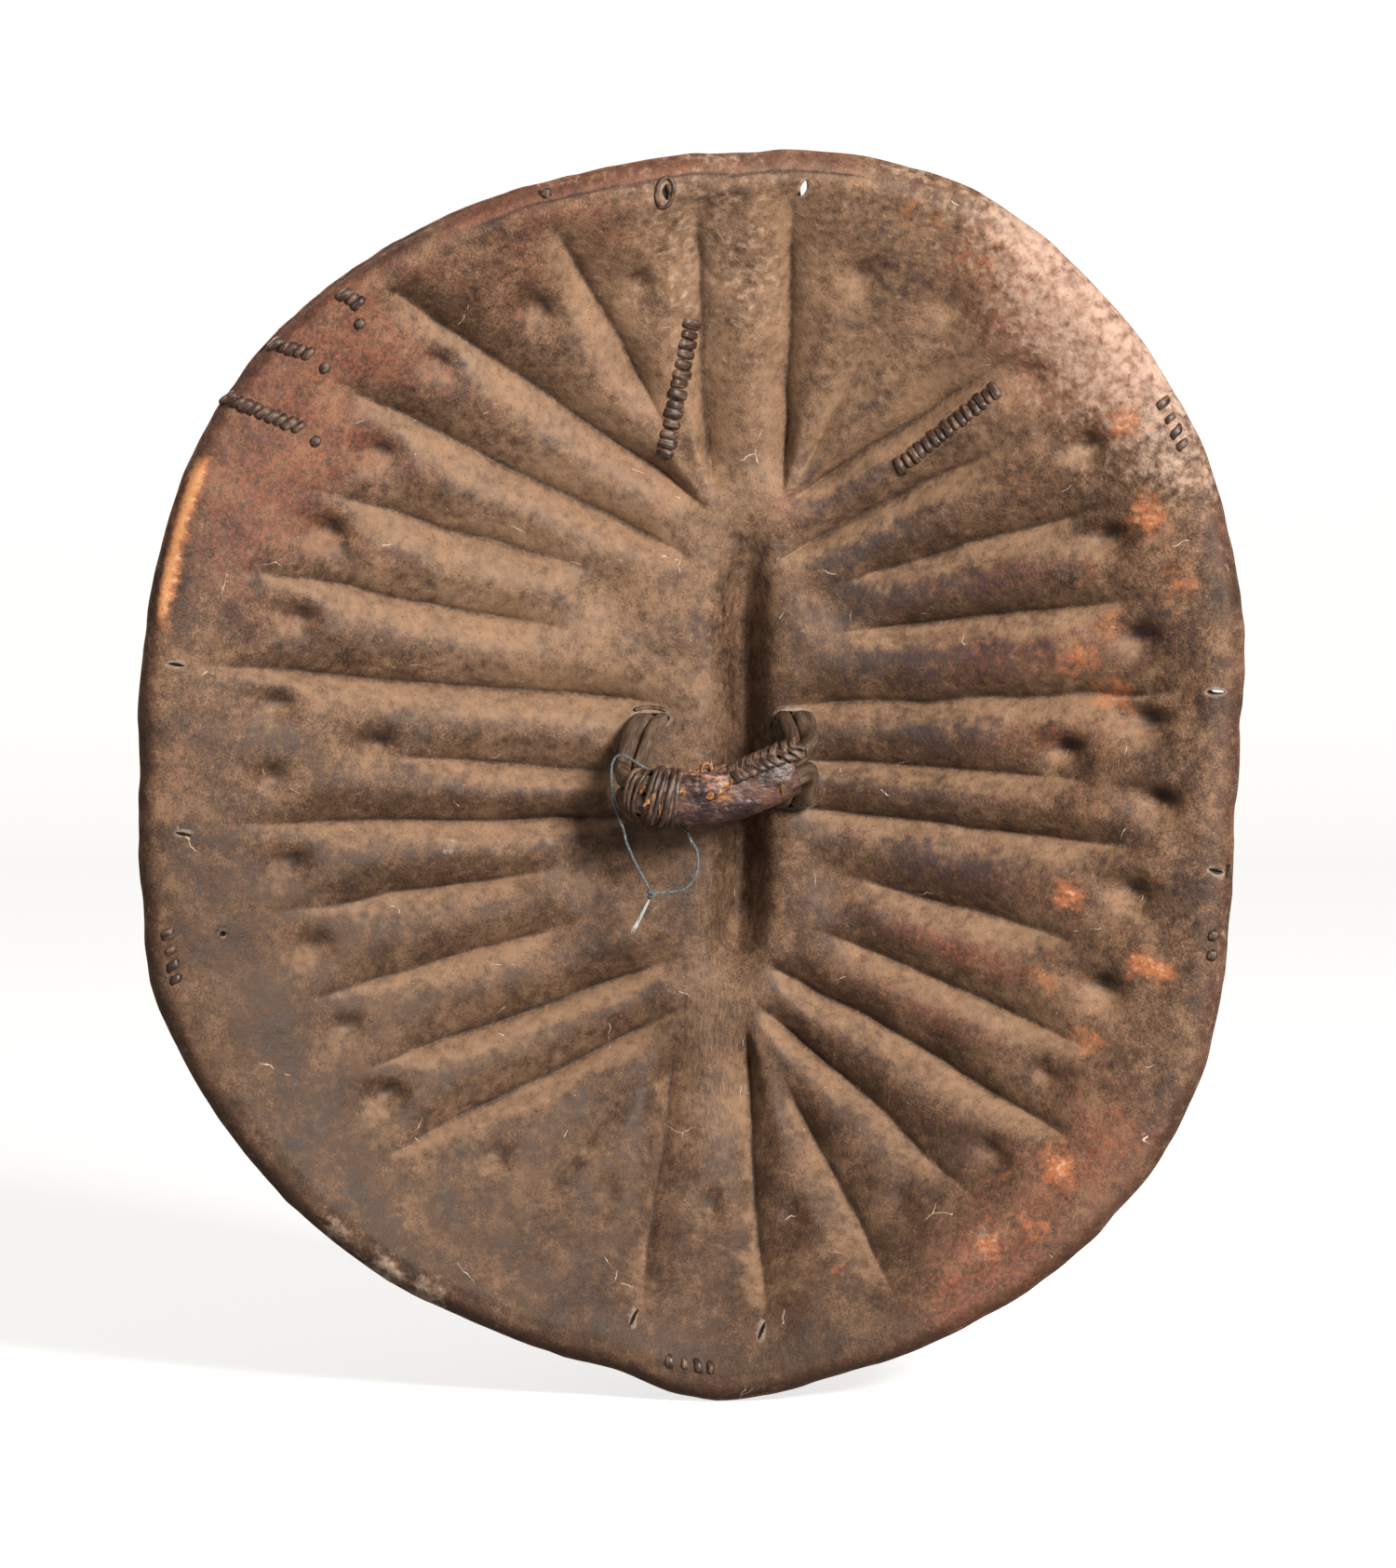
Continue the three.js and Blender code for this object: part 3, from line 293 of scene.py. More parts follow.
# A leather or rawhide finish: a mottled ground, then layers that lie where the piece's marks say.
# Each layer shows where its mark plus its own ragged noise passes a threshold. Sizes are in millimetres:
# noiseSizes and bumps hold (size, detail, roughness) and (size, height, detail), a layer holds its colour,
# noise size, raggedness, threshold from and to, the most it covers and, if it is fibrous, its stretch
def leather(name, look):
    material, tree = newMaterial(name)
    if look.get("alongPiece"):
        coords, unitSize = addNode(tree, "Attribute", {"attribute_name": "straight"}, "Vector"), 1.0
    else:
        coords, unitSize = addNode(tree, "TexCoord", {}, "Object"), mm
    stretch = addNode(tree, "Mapping", {"Scale": look.get("stretch", (1, 1, 1)), "Vector": coords})
    parts = [addNode(tree, "TexNoise", {"Scale": 1 / (size * unitSize), "Detail": detail, "Roughness": roughness,
                                        "Vector": stretch}) for size, detail, roughness in look["noiseSizes"]]
    ground = parts[0]
    for part, weight in zip(parts[1:], look["weights"]):
        centred = addNode(tree, "Math", {"operation": "SUBTRACT", 0: part, 1: 0.5})
        ground = addNode(tree, "Math", {"operation": "MULTIPLY_ADD", 0: centred, 1: weight, 2: ground})
    overlays = []
    for mark, (hexColour, size, ragged, low, high, most, *fibre) in look.get("layers", {}).items():
        where = addNode(tree, "Attribute", {"attribute_name": mark.rstrip("2")}, "Fac")
        drawn = addNode(tree, "Mapping", {"Scale": fibre[0], "Vector": stretch}) if fibre else stretch
        settings = {"Scale": 1 / (size * unitSize), "Detail": 4.0, "Roughness": 0.55, "Vector": drawn}
        centred = addNode(tree, "Math", {"operation": "SUBTRACT", 0: addNode(tree, "TexNoise", settings), 1: 0.5})
        amount = addNode(tree, "Math", {"operation": "MULTIPLY_ADD", 0: centred, 1: ragged, 2: where})
        overlays.append((addNode(tree, "MapRange", {
            "interpolation_type": "SMOOTHSTEP", "From Min": low, "From Max": high, "To Max": most, "Value": amount,
        }), hexColour))
    for cell, radius, share, hexColour in look.get("specks", []):  # a dot in some of the cells of a crystal pattern
        distance = addNode(tree, "TexVoronoi", {"Scale": 1 / (cell * unitSize), "Vector": coords})
        dot = addNode(tree, "MapRange", {
            "From Min": radius / cell, "From Max": 0.4 * radius / cell, "Value": distance})
        red = addNode(tree, "SeparateColor", {"Color": distance.node.outputs["Color"]})
        chosen = addNode(tree, "Math", {"operation": "LESS_THAN", 0: red, 1: share})
        overlays.append((addNode(tree, "Math", {"operation": "MULTIPLY", 0: dot, 1: chosen}), hexColour))
    for cell, width, low, high, hexColour in look.get("hairs", []):  # bent cell borders, shown here and there
        bend = addNode(tree, "TexNoise", {"Scale": 1 / (9 * unitSize), "Detail": 2.0, "Vector": coords}, "Color")
        bend = addNode(tree, "VectorMath", {"operation": "SCALE", "Scale": 6 * unitSize, 0: bend})
        bent = addNode(tree, "VectorMath", {"operation": "ADD", 0: coords, 1: bend})
        distance = addNode(tree, "TexVoronoi", {
            "feature": "DISTANCE_TO_EDGE", "Scale": 1 / (cell * unitSize), "Vector": bent})
        line = addNode(tree, "MapRange", {
            "From Min": width / cell, "From Max": 0.3 * width / cell, "Value": distance})
        where = addNode(tree, "TexNoise", {"Scale": 1 / (16 * unitSize), "Detail": 3.0, "Vector": bent})
        where = addNode(tree, "MapRange", {"From Min": low, "From Max": high, "Value": where})
        overlays.append((addNode(tree, "Math", {"operation": "MULTIPLY", 0: line, 1: where}), hexColour))
    colour = addNode(tree, "ValToRGB", {"ramp": look["ground"], "Fac": ground})
    for shown, hexColour in overlays:
        colour = addNode(tree, "Mix", {"data_type": "RGBA", 0: shown, 6: colour, 7: linear(hexColour)}, 2)
    dull, glossy = look["roughness"]
    gloss = addNode(tree, "MapRange", {
        "From Min": 0.3, "From Max": 0.7, "To Min": dull, "To Max": glossy, "Value": ground})
    bumps = {}
    for size, height, detail in look["bumps"]:
        settings = {"Scale": 1 / (size * unitSize), "Detail": detail, "Roughness": 0.6, "Vector": stretch}
        grain = addNode(tree, "TexNoise", settings)
        bumps = {"Normal": addNode(tree, "Bump", {"Strength": 1.0, "Distance": height * mm, "Height": grain, **bumps})}
    addSurface(tree, {"Base Color": colour, "Roughness": gloss, "IOR": look.get("ior", 1.45), **bumps})
    return material


# Buffalo rawhide, pressed wet over a form, smoked and handled: mottled brown with dust, dark oil stains and
# reddish and orange rubbed places, dull with a faint gloss; some layers hold painted light and shade as well
hideLook = {
    "noiseSizes": [(26, 8.0, 0.68), (5, 4.0, 0.68), (1.0, 3.0, 0.6)],
    "weights": [0.6, 0.75],
    "ground": [(0.31, "#281c16"), (0.44, "#433024"), (0.55, "#5a4332"), (0.67, "#775c47")],
    "layers": {
        # darker areas, most towards the bottom, and painted shade on the flanks that face away from the key light
        "smoke": ("#382618", 12, 2.2, 0.1, 1.5, 0.68),
        # tan dust, and painted light on the flanks, dent lips and places that face the key light
        "dust": ("#8c6f57", 6, 1.8, 0.1, 1.45, 0.72),
        "red": ("#6d4034", 7, 2.4, 0.35, 1.7, 0.5),
        "red2": ("#8a5039", 2.6, 3.0, 0.7, 1.7, 0.6),
        "dark": ("#272124", 7, 2.4, 0.35, 1.4, 0.78),
        "fibre": ("#8b6d55", 1.3, 2.4, 0.6, 1.7, 0.5, (1, 1, 0.14)),
        "fibre2": ("#2c2019", 1.0, 2.6, 0.75, 1.8, 0.6, (1, 1, 0.13)),
        "rim": ("#4a3027", 9, 2.6, 0.3, 1.6, 0.6),
        # pale scuffs, partly painted light at the top and upper right
        "pale": ("#b9a08f", 5, 2.2, 0.35, 1.5, 0.66),
        # orange rubbed spots with painted glints; the second layer paints their bright highlight cores
        "orangeRubsAndGlints": ("#a8653f", 8, 1.8, 0.42, 1.3, 0.74, (1, 1, 1.4)),
        "orangeRubsAndGlints2": ("#cfa07c", 5, 2.2, 0.85, 1.6, 0.8, (1, 1, 1.7)),
        # painted highlight along the rubbed strip of the left rim
        "gold": ("#c08a5c", 5, 0.8, 0.3, 1.1, 0.85),
        # dark lines: painted shade along the fold creases and round the grip slits, and the crack under the folded top
        # lip
        "crease": ("#231812", 2.5, 1.2, 0.2, 1.1, 0.85),
        # painted shade: dark ovals in the upper right of the dents
        "pit": ("#241a17", 4, 0.8, 0.2, 0.95, 0.82),
        # painted highlight round the lips of the slots
        "lip": ("#8d7e70", 3, 1.0, 0.45, 1.2, 0.6),
        # painted shade on the walls inside the slots
        "cutWallShade": ("#1c1411", 3, 0.2, 0.3, 0.7, 0.95),
    },
    "specks": [(9, 0.35, 0.2, "#b8a896"), (2.6, 0.5, 0.4, "#2b211c")],
    "hairs": [(75, 0.16, 0.61, 0.66, "#c8baa9")],
    "roughness": (0.55, 0.78), "ior": 1.36,
    "bumps": [(7, 0.8, 5.0), (1.5, 0.3, 3.0)],
}
strapLook = {
    "alongPiece": True, "stretch": (0.2, 1, 1),
    "noiseSizes": [(9, 4.0, 0.6), (1.6, 3.0, 0.6)], "weights": [0.4],
    "ground": [(0.32, "#271d18"), (0.5, "#46382e"), (0.68, "#6e5b4b")],
    "roughness": (0.28, 0.45), "bumps": [(3, 0.35, 3.0), (0.8, 0.12, 2.0)],
}
coverLook = {
    "stretch": (0.45, 1, 1),
    "noiseSizes": [(12, 5.0, 0.6), (2.4, 4.0, 0.6)], "weights": [0.6],
    "ground": [(0.32, "#1b1314"), (0.48, "#352422"), (0.66, "#5c4136")],
    "layers": {
        # rubbed places, with a painted highlight on the front of the bump
        "rubbedAndHighlight": ("#b98a76", 2.2, 2.8, 0.4, 1.5, 0.8),
        "torn": ("#a06a35", 3.5, 3.0, 0.45, 1.2, 0.9),
        "seam": ("#5f4838", 1.5, 1.8, 0.3, 1.1, 0.85),
    },
    "roughness": (0.25, 0.45), "bumps": [(3, 0.8, 5.0), (0.9, 0.25, 3.0)],
}
thongLook = {
    "alongPiece": True, "stretch": (0.25, 1, 1),
    "noiseSizes": [(2.5, 4.0, 0.6), (0.8, 3.0, 0.6)], "weights": [0.5],
    "ground": [(0.32, "#1b1310"), (0.5, "#3a2921"), (0.68, "#674f3f")],
    "roughness": (0.35, 0.6), "bumps": [(1.0, 0.25, 3.0)],
}
flakeLook = {
    "alongPiece": True, "noiseSizes": [(3, 4.0, 0.6), (0.8, 3.0, 0.6)], "weights": [0.5],
    "ground": [(0.34, "#3a241a"), (0.5, "#7e5230"), (0.66, "#b98a58")],
    "roughness": (0.4, 0.6), "bumps": [(1.0, 0.2, 3.0)],
}
stringLook = {
    "alongPiece": True, "noiseSizes": [(0.9, 3.0, 0.6), (3, 2.0, 0.5)], "weights": [0.5],
    "ground": [(0.3, "#33393b"), (0.5, "#4b5456"), (0.7, "#71797a")],
    "roughness": (0.8, 0.95), "bumps": [(0.5, 0.15, 2.0)],
}
frayedLook = dict(stringLook, ground=[(0.3, "#6d7474"), (0.5, "#9a9f9c"), (0.7, "#cfd0ca")])
hideFinish = leather("smokedBuffaloHide", hideLook)
strapFinish = leather("driedRawhideStrap", strapLook)
coverFinish = leather("crackedCoverLeather", coverLook)
thongFinish = leather("darkRawhideThong", thongLook)
flakeFinish = leather("tornOchreLeather", flakeLook)
stringFinish = leather("greyCottonString", stringLook)
frayedFinish = leather("paleFrayedCotton", frayedLook)
print("finishes made")

# Tag string: one thin two-ply cord, knotted below the grip, over its left end, with a frayed tail
tagString = {
    "diameter": 1.5, "plyPitch": 3.2, "plyDepth": 0.16, "bendHeight": (-17.5, -23.5),
    "hitch": [
        (-50.2, 7.5, -18.95), (-51, 7.5, -15.6), (-52.6, 7.5, -11.4), (-55.4, 7.5, -3.6), (-57, 7.5, 5),
        (-57.6, 7.5, 14), (-57.2, 7.5, 21), (-54.8, 7.3, 25.4), (-50.6, 7, 26), (-46, 6.6, 23.6), (-42, 6.4, 20.8),
        (-38.4, 7.4, 18.8), (-35, 10, 17), (-31.4, 13.2, 11.4), (-28, 14.4, 4), (-24.6, 14, -4),
        (-20.6, 12, -11.4), (-17, 9.2, -15.2), (-14.8, 7.7, -17.2), (-14.3, 7.5, -18.95),
    ],
    "loop": [
        (-49.6, 7.5, -22), (-47.2, 7.5, -28), (-44.4, 7.5, -34.4), (-40.4, 7.5, -42),
        (-36.9, 7.5, -48.6), (-35.6, 7.5, -52.4), (-36.4, 7.5, -55.2),
    ],
    "loopBack": [
        (-33.2, 7.5, -51.9), (-31, 7.5, -51.6), (-27, 7.5, -51), (-21.6, 7.5, -50.8),
        (-16.6, 7.5, -49.4), (-12, 7.5, -45), (-9.4, 7.5, -39), (-8.9, 7.5, -33), (-10, 7.5, -26.6),
        (-12.8, 7.5, -22.4),
    ],
    "tail": [(-36.4, 7.5, -55.2), (-39.2, 7.5, -61), (-42.6, 7.5, -67.6), (-46.4, 7.5, -74.6)],
    "fibres": 26, "fibreWidth": 0.42,
}
stringKnots = tagString["loopBack"] + tagString["hitch"][::-1] + tagString["loop"]
stringLine = evenly(alongKnots(stringKnots, np.linspace(0, 1, 900)), 0.35)


# Two plies: the radius swells twice a turn, and the swelling winds round the cord once a pitch
def twoPly(straight, turn):
    return tagString["plyDepth"] * np.cos(2 * (turn - 2 * np.pi * straight[..., 0] / tagString["plyPitch"]))


tagCord = addTubes("tagCord", stringFinish, "tag_string", tube(
    stringLine, (0, 1, 0), tagString["diameter"], tagString["diameter"], 12, relief=twoPly, spacing=0.35), body=None)
high, low = tagString["bendHeight"]
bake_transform(tagCord)
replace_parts(tagCord, "tag_string_hitch", "tag_string_loop")

# The tail: loose fibres that start together at the knot and spread as they go down
tailLine = evenly(alongKnots(tagString["tail"], np.linspace(0, 1, 60)), 0.7)
spread = np.random.default_rng(7)
fibres = []
for fibre in range(tagString["fibres"]):
    angle, out, sway = spread.uniform(0, 2 * np.pi), spread.uniform(0.25, 1) ** 0.5, spread.uniform(-1, 1)
    reach = np.linspace(0, 1, len(tailLine))[:, None]
    offset = np.array([np.cos(angle), np.sin(angle), 0]) * out * (0.45 + 0.85 * reach)
    offset = offset + np.array([0.5, 0.3, 0.0]) * sway * np.sin(reach * (4 + 2 * out)) * reach
    strand = (tailLine + offset)[:int(len(tailLine) * spread.uniform(0.8, 1))]
    fibres.append(tube(strand, (0, 1, 0), tagString["fibreWidth"], tagString["fibreWidth"], 5, spacing=1.2))
tagTail = addTubes("tagTail", frayedFinish, "tag_string", *fibres, body="tag_string")
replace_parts(tagTail, "tag_tail")

# The knot: an overhand lump, two fat turns of the cord round its own middle
knotTurn = np.linspace(0, 2 * np.pi * 2.6, 120)
knotMiddle = np.array([-34.9, 7.5, -52.4])
knotRing = np.stack([1.75 * np.cos(knotTurn), 1.85 * np.sin(knotTurn), 1.5 * np.sin(knotTurn * 0.42 + 0.6)], 1)
knot = tube(knotMiddle + knotRing, (0.2, 0.1, 1), 1.9, 1.9, 10, relief=twoPly, spacing=0.4)
tagKnot = addTubes("tagKnot", stringFinish, "tag_string", knot, body="tag_string")
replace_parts(tagKnot, "tag_knot")

# Hide: a dish pressed over a form, with a groove, folds that run out from it and dents near the rim
hide = {
    "halfHeight": 350, "centre": (12, 16), "rimPlane": -18, "thickness": 5.5,
    "dishDepth": 70, "crownPower": 1.8, "edgePower": 1.2, "flatStart": 0.93,
    "rimSeat": 7, "rimRoll": 9, "rimDrop": 7, "edgeBulge": 1.4,
    "grooveDepth": 38, "grooveAcross": 0.015, "grooveEnds": (-0.36, 0.43), "grooveFade": (45, 80),
    "grooveFloor": 0.08, "grooveCap": 0.93, "grooveSlant": 0.045, "wallMiddle": 11, "wallSoftness": 4,
    "creaseDepth": 2.2, "creaseWidth": 2.0, "valleyDepth": 13.5, "valleyReach": 0.62, "valleyMost": 32,
    "foldRise": (-0.08, 0.1), "foldFall": (-0.22, 0.05),
    "dentDepth": 9.5, "dentRadius": 10, "dentStretch": 1.4, "pitDepth": 5.5, "pitRadius": 5,
    "hollowDepth": 8, "hollowRadius": 18, "panelRidge": (-0.06, 0.6, 3.2, 4.5, 95),
    "columnsPerFold": 19, "crowding": 0.68, "wallRows": 12, "fieldRows": 82, "edgeRows": 6,
    "fineOuterRows": 24, "outerRowStep": 4, "ballReach": (9, 3), "zipSplit": 14.5, "bluntness": 0.7,
    "rimWaver": ((1.1, 34), (0.6, 12)), "wander": ((1.6, 30), (0.5, 9)),  # size and cell of each noise
    "unevenness": ((1.6, 60), (1.0, 24), (0.35, 9)),
}
# Rim's angle in degrees and reach as a share of half the height
outline = np.array([
    (0, 0.802), (10, 0.822), (25, 0.873), (40, 0.925), (55, 0.972), (68, 1.005), (80, 1.003), (90, 0.992),
    (100, 0.989), (115, 1.0), (130, 1.016), (142, 1.014), (155, 0.993), (165, 0.97), (180, 0.953),
    (192, 0.968), (200, 0.992), (215, 0.992), (235, 0.985), (250, 0.972), (258, 0.975), (266, 1.0),
    (270, 1.006), (278, 0.983), (290, 0.965), (305, 0.942), (320, 0.912), (335, 0.857), (350, 0.806),
])
# Rim angle, place at the groove (across, up), start, end, depth, and the dent beside it (on the way out, and
# on the way to the next fold)
foldTable = np.array([
    (84.4, 0.08, 0.46, 0.03, 0.89, 1, 0.67, 0.65), (70, 0.09, 0.45, 0.08, 0.57, 0.5, 0.7, 0.4),
    (52.7, 0.08, 0.43, 0.06, 0.75, 1, 0.73, 0.35), (44.3, 0.07, 0.34, 0.04, 0.67, 1, 0.77, 0.37),
    (32.4, 0.07, 0.27, 0.19, 0.82, 0.9, 0.75, 0.32), (20.3, 0.07, 0.21, 0.18, 0.84, 1, 0.78, 0.4),
    (9.6, 0.07, 0.1, 0.04, 0.92, 1, 0.81, 0.3), (-2, 0.07, 0.02, 0.08, 0.7, 0.9, 0.84, 0.22),
    (-9.7, 0.07, -0.06, 0.06, 0.82, 0.9, 0.79, 0.4), (-23.1, 0.07, -0.15, 0.21, 0.7, 1, 0.75, 0.37),
    (-34.5, 0.07, -0.24, 0.15, 0.79, 0.9, 0.68, 0.5), (-44.8, 0.06, -0.32, 0.03, 0.84, 1, 0.67, 0.52),
    (-57.5, 0.05, -0.39, 0.03, 0.72, 1, 0.62, 0.52), (-71.9, 0.04, -0.43, 0.19, 0.84, 0.9, 0.53, 0.6),
    (-87, 0.02, -0.44, 0, 0.8, 1, 0.47, 0.45), (-99.8, -0.1, -0.44, 0.03, 0.81, 0.8, 0.51, 0.52),
    (-117.6, -0.08, -0.41, 0.25, 0.74, 0.5, 0.59, 0.57), (-136.1, -0.06, -0.38, 0.07, 0.78, 0.9, 0.69, 0.65),
    (-145.7, -0.05, -0.29, 0.1, 0.72, 1, 0.7, 0.55), (-154.8, -0.04, -0.19, 0.28, 0.78, 0.8, 0.71, 0.57),
    (-165.1, -0.04, -0.13, 0.31, 0.78, 0.8, 0.74, 0.55), (-175.1, -0.04, -0.08, 0.16, 0.86, 0.9, 0.77, 0.6),
    (-183.8, -0.04, -0.02, 0.17, 0.6, 0.9, 0.76, 0.57), (-191, -0.04, 0.1, 0.09, 0.93, 1, 0.74, 0.6),
    (-201.2, -0.04, 0.18, 0.3, 0.87, 0.9, 0.72, 0.6), (-210.9, -0.04, 0.26, 0.28, 0.78, 1, 0.69, 0.57),
    (-222.1, -0.04, 0.33, 0.09, 0.86, 1, 0.7, 0.65), (-233.5, -0.05, 0.43, 0.04, 0.98, 1, 0.67, 0.57),
    (-251, -0.05, 0.45, 0.3, 0.92, 1, 0.65, 0.45), (-266.2, -0.04, 0.46, 0.03, 0.9, 1, 0.62, 0.47),
])
innerDents = np.array([(-0.576, 0.045), (0.532, 0.037)])
dentStrengths = np.array([  # in the order of the folds, then the two inner ones
    0.7, 0.6, 0.5, 0.8, 0.95, 0.9, 1.1, 1.1, 0.9, 1, 0.7, 0.75, 0.5, 0.55, 0.7, 0.5,
    0.7, 0.9, 0.6, 0.7, 0.75, 0.6, 0.8, 0.85, 1.1, 0.9, 0.75, 0.75, 0.7, 0.3, 0.85, 1.1])
hollows = np.array([(-0.2, 0.276), (0.17, 0.265), (-0.23, -0.152), (0.17, -0.177)])


def toPlace(shares):  # (across, up) as shares of half the height, to (x, z)
    return np.asarray(shares) * hide["halfHeight"] + hide["centre"]


# Reach of the rim: a cubic through the outline's points with the slopes of their neighbours, closed on itself
def outlineReach(degrees):
    angle = np.mod(degrees, 360)
    knots = np.vstack([outline[-2:] - (360, 0), outline, outline[:2] + (360, 0)])
    after = np.searchsorted(outline[:, 0], angle, side="right") + 2
    p0, p1, p2, p3 = (knots[after + step] for step in (-2, -1, 0, 1))
    width = p2[:, 0] - p1[:, 0]
    part = (angle - p1[:, 0]) / width
    slope1 = (p2[:, 1] - p0[:, 1]) / (p2[:, 0] - p0[:, 0]) * width
    slope2 = (p3[:, 1] - p1[:, 1]) / (p3[:, 0] - p1[:, 0]) * width
    share = ((2 * part ** 3 - 3 * part ** 2 + 1) * p1[:, 1] + (part ** 3 - 2 * part ** 2 + part) * slope1
             + (3 * part ** 2 - 2 * part ** 3) * p2[:, 1] + (part ** 3 - part ** 2) * slope2)
    around = stacked(*circle(np.radians(degrees))) * hide["halfHeight"]
    waver = sum(size * noise(around, cell, 71) for size, cell in hide["rimWaver"])
    return share * hide["halfHeight"] + waver


# Spokes run from the groove's floor over its edge to the rim. Whole numbers are folds.
def spokes(numbers):
    index = np.floor(numbers).astype(int)
    part = (numbers - index)[:, None]
    row, following = (foldTable[(index + step) % len(foldTable)] for step in (0, 1))
    turn = np.mod(row[:, 0] - following[:, 0], 360)
    root = toPlace(row[:, 1:3]) * (1 - part) + toPlace(following[:, 1:3]) * part
    degrees = row[:, 0] - turn * part[:, 0]
    rim = stacked(*circle(np.radians(degrees))) * outlineReach(degrees)[:, None] + hide["centre"]
    middle = toPlace((hide["grooveAcross"], sum(hide["grooveEnds"]) / 2))
    floor = middle + (root - middle) * (hide["grooveFloor"], hide["grooveCap"])
    floor[:, 0] += hide["grooveSlant"] * (floor[:, 1] - middle[1])
    return floor, root, rim, unit(rim - root)


_, foldRoot, foldRim, foldOut = spokes(np.arange(len(foldTable), dtype=float))
foldLength = np.linalg.norm(foldRim - foldRoot, axis=1)
spacingAtRoot = np.linalg.norm(np.roll(foldRoot, -1, 0) - foldRoot, axis=1)  # to the next fold, clockwise
spacingAtRim = np.linalg.norm(np.roll(foldRim, -1, 0) - foldRim, axis=1)
dentNumbers = np.arange(len(foldTable)) + foldTable[:, 7]
_, dentRoot, dentRim, dentOut = spokes(dentNumbers)
dentPlaces = np.vstack([dentRoot + (dentRim - dentRoot) * foldTable[:, 6:7], toPlace(innerDents)])
dentOut = np.vstack([dentOut, [[-1, 0], [1, 0]]])


# Distance from a fold's line, share of the way out, and the fold's strength. The line wanders by noise.
def foldAt(places, fold):
    offset = places - foldRoot[fold]
    along = offset @ foldOut[fold] / foldLength[fold]
    across = offset[..., 0] * foldOut[fold, 1] - offset[..., 1] * foldOut[fold, 0]
    for size, cell in hide["wander"]:
        across = across + size * noise(places, cell, fold + 5)
    start, end = foldTable[fold, 3:5]
    rises = smoothstep(along, start + hide["foldRise"][0], start + hide["foldRise"][1])
    falls = smoothstep(along, end + hide["foldFall"][0], end + hide["foldFall"][1])
    return across, np.clip(along, 0, 1), rises * (1 - falls) * foldTable[fold, 5]


# A fold's valley is (1 - distance / reach)², and its reach is a share of the way to the next fold on that side,
# so that the skin swells like a pillow from crease to crease
def valleyAt(places, fold, bluntness):
    across, along, strength = foldAt(places, fold)
    gaps = [spacingAtRoot[side] + (spacingAtRim[side] - spacingAtRoot[side]) * along for side in (fold, fold - 1)]
    reach = np.minimum(np.where(across > 0, *gaps) * hide["valleyReach"], hide["valleyMost"])
    distance = np.sqrt(across ** 2 + bluntness ** 2)
    return across, strength, strength * np.clip(1 - distance / reach, 0, 1) ** 2


# How much deeper than the plain dish the skin is pressed: valleys with a tight crease, dents and hollows
def relief(places, bluntness):
    depth = np.zeros(places.shape[:-1])
    for fold in range(len(foldTable)):
        across, strength, valley = valleyAt(places, fold, bluntness)
        distance = np.sqrt(across ** 2 + bluntness ** 2)
        depth += strength * hide["creaseDepth"] * np.exp(-distance / hide["creaseWidth"])
        depth += hide["valleyDepth"] * valley
    for place, out, strength in zip(dentPlaces, dentOut, dentStrengths):
        offset = places - place
        along = offset @ out
        across = offset[..., 0] * out[1] - offset[..., 1] * out[0]
        distance = np.sqrt((along / hide["dentStretch"]) ** 2 + across ** 2) / hide["dentRadius"]
        steep = (offset @ (0.6, 0.8)) / hide["dentRadius"]  # a dent is steeper towards the upper right
        depth += strength * hide["dentDepth"] * hill(distance * (1 + 0.3 * np.tanh(2 * steep)))
        pit = np.hypot((along - 1) / 1.5, across) / hide["pitRadius"]
        depth += strength * hide["pitDepth"] * hill(pit)
    for place in toPlace(hollows):
        depth += hide["hollowDepth"] * hill(np.linalg.norm(places - place, axis=-1) / hide["hollowRadius"])
    ridgeAcross, ridgeUp, ridgeHeight, ridgeRadius, ridgeDrop = hide["panelRidge"]
    beside = places - toPlace((ridgeAcross, ridgeUp))
    depth -= ridgeHeight * np.exp(-(beside[..., 0] / ridgeRadius) ** 2 - (2 * beside[..., 1] / ridgeDrop) ** 4)
    for size, cell in hide["unevenness"]:
        depth += size * noise(places, cell, 40)
    return depth


# Columns crowd towards the folds: number + sine wave of the part, so that a crease gets narrow faces
columns = len(foldTable) * hide["columnsPerFold"]
numbers = np.arange(columns) / hide["columnsPerFold"]
numbers = numbers - hide["crowding"] * np.sin(2 * np.pi * numbers) / (2 * np.pi)
floor, root, rim, out = spokes(numbers)
wall = np.linspace(0, 1, hide["wallRows"], endpoint=False)
field = np.linspace(0, 1, hide["fieldRows"])
rimSteps = np.array([14, 12, 10.5, 9, 7.5, 6, 4.6, 3.2, 2, 1, 0.4, 0])
seat = rim - out * (hide["rimRoll"] + hide["rimSeat"])
places = np.concatenate([
    floor[:, None] + (root - floor)[:, None] * wall[:, None],
    root[:, None] + (seat - root)[:, None] * field[:, None],
    rim[:, None] - out[:, None] * rimSteps[:, None],
], 1)

# Depth without relief: the dish is deepest at the groove, (1 - share^crown)^edge. The groove's wall is an
# S of the distance from its shoulder, 1 / (1 + e^distance), so that shoulder and floor are round.
low, high = (hide["centre"][1] + share * hide["halfHeight"] for share in hide["grooveEnds"])
dish = np.concatenate([np.zeros(len(wall)), field, np.ones(len(rimSteps))])
dish = hide["dishDepth"] * (1 - dish ** hide["crownPower"]) ** hide["edgePower"]
roll = hide["rimDrop"] * np.clip(1 - rimSteps / hide["rimRoll"], 0, 1) ** 2
fromShoulder = np.concatenate([
    -np.linalg.norm(root - floor, axis=1)[:, None] * (1 - wall), np.linalg.norm(seat - root, axis=1)[:, None] * field,
    np.full((columns, len(rimSteps)), 999.0),  # the rim is far from the groove
], 1)
ends = smoothstep(places[..., 1], low, low + hide["grooveFade"][0])
ends = ends * (1 - smoothstep(places[..., 1], high - hide["grooveFade"][1], high))
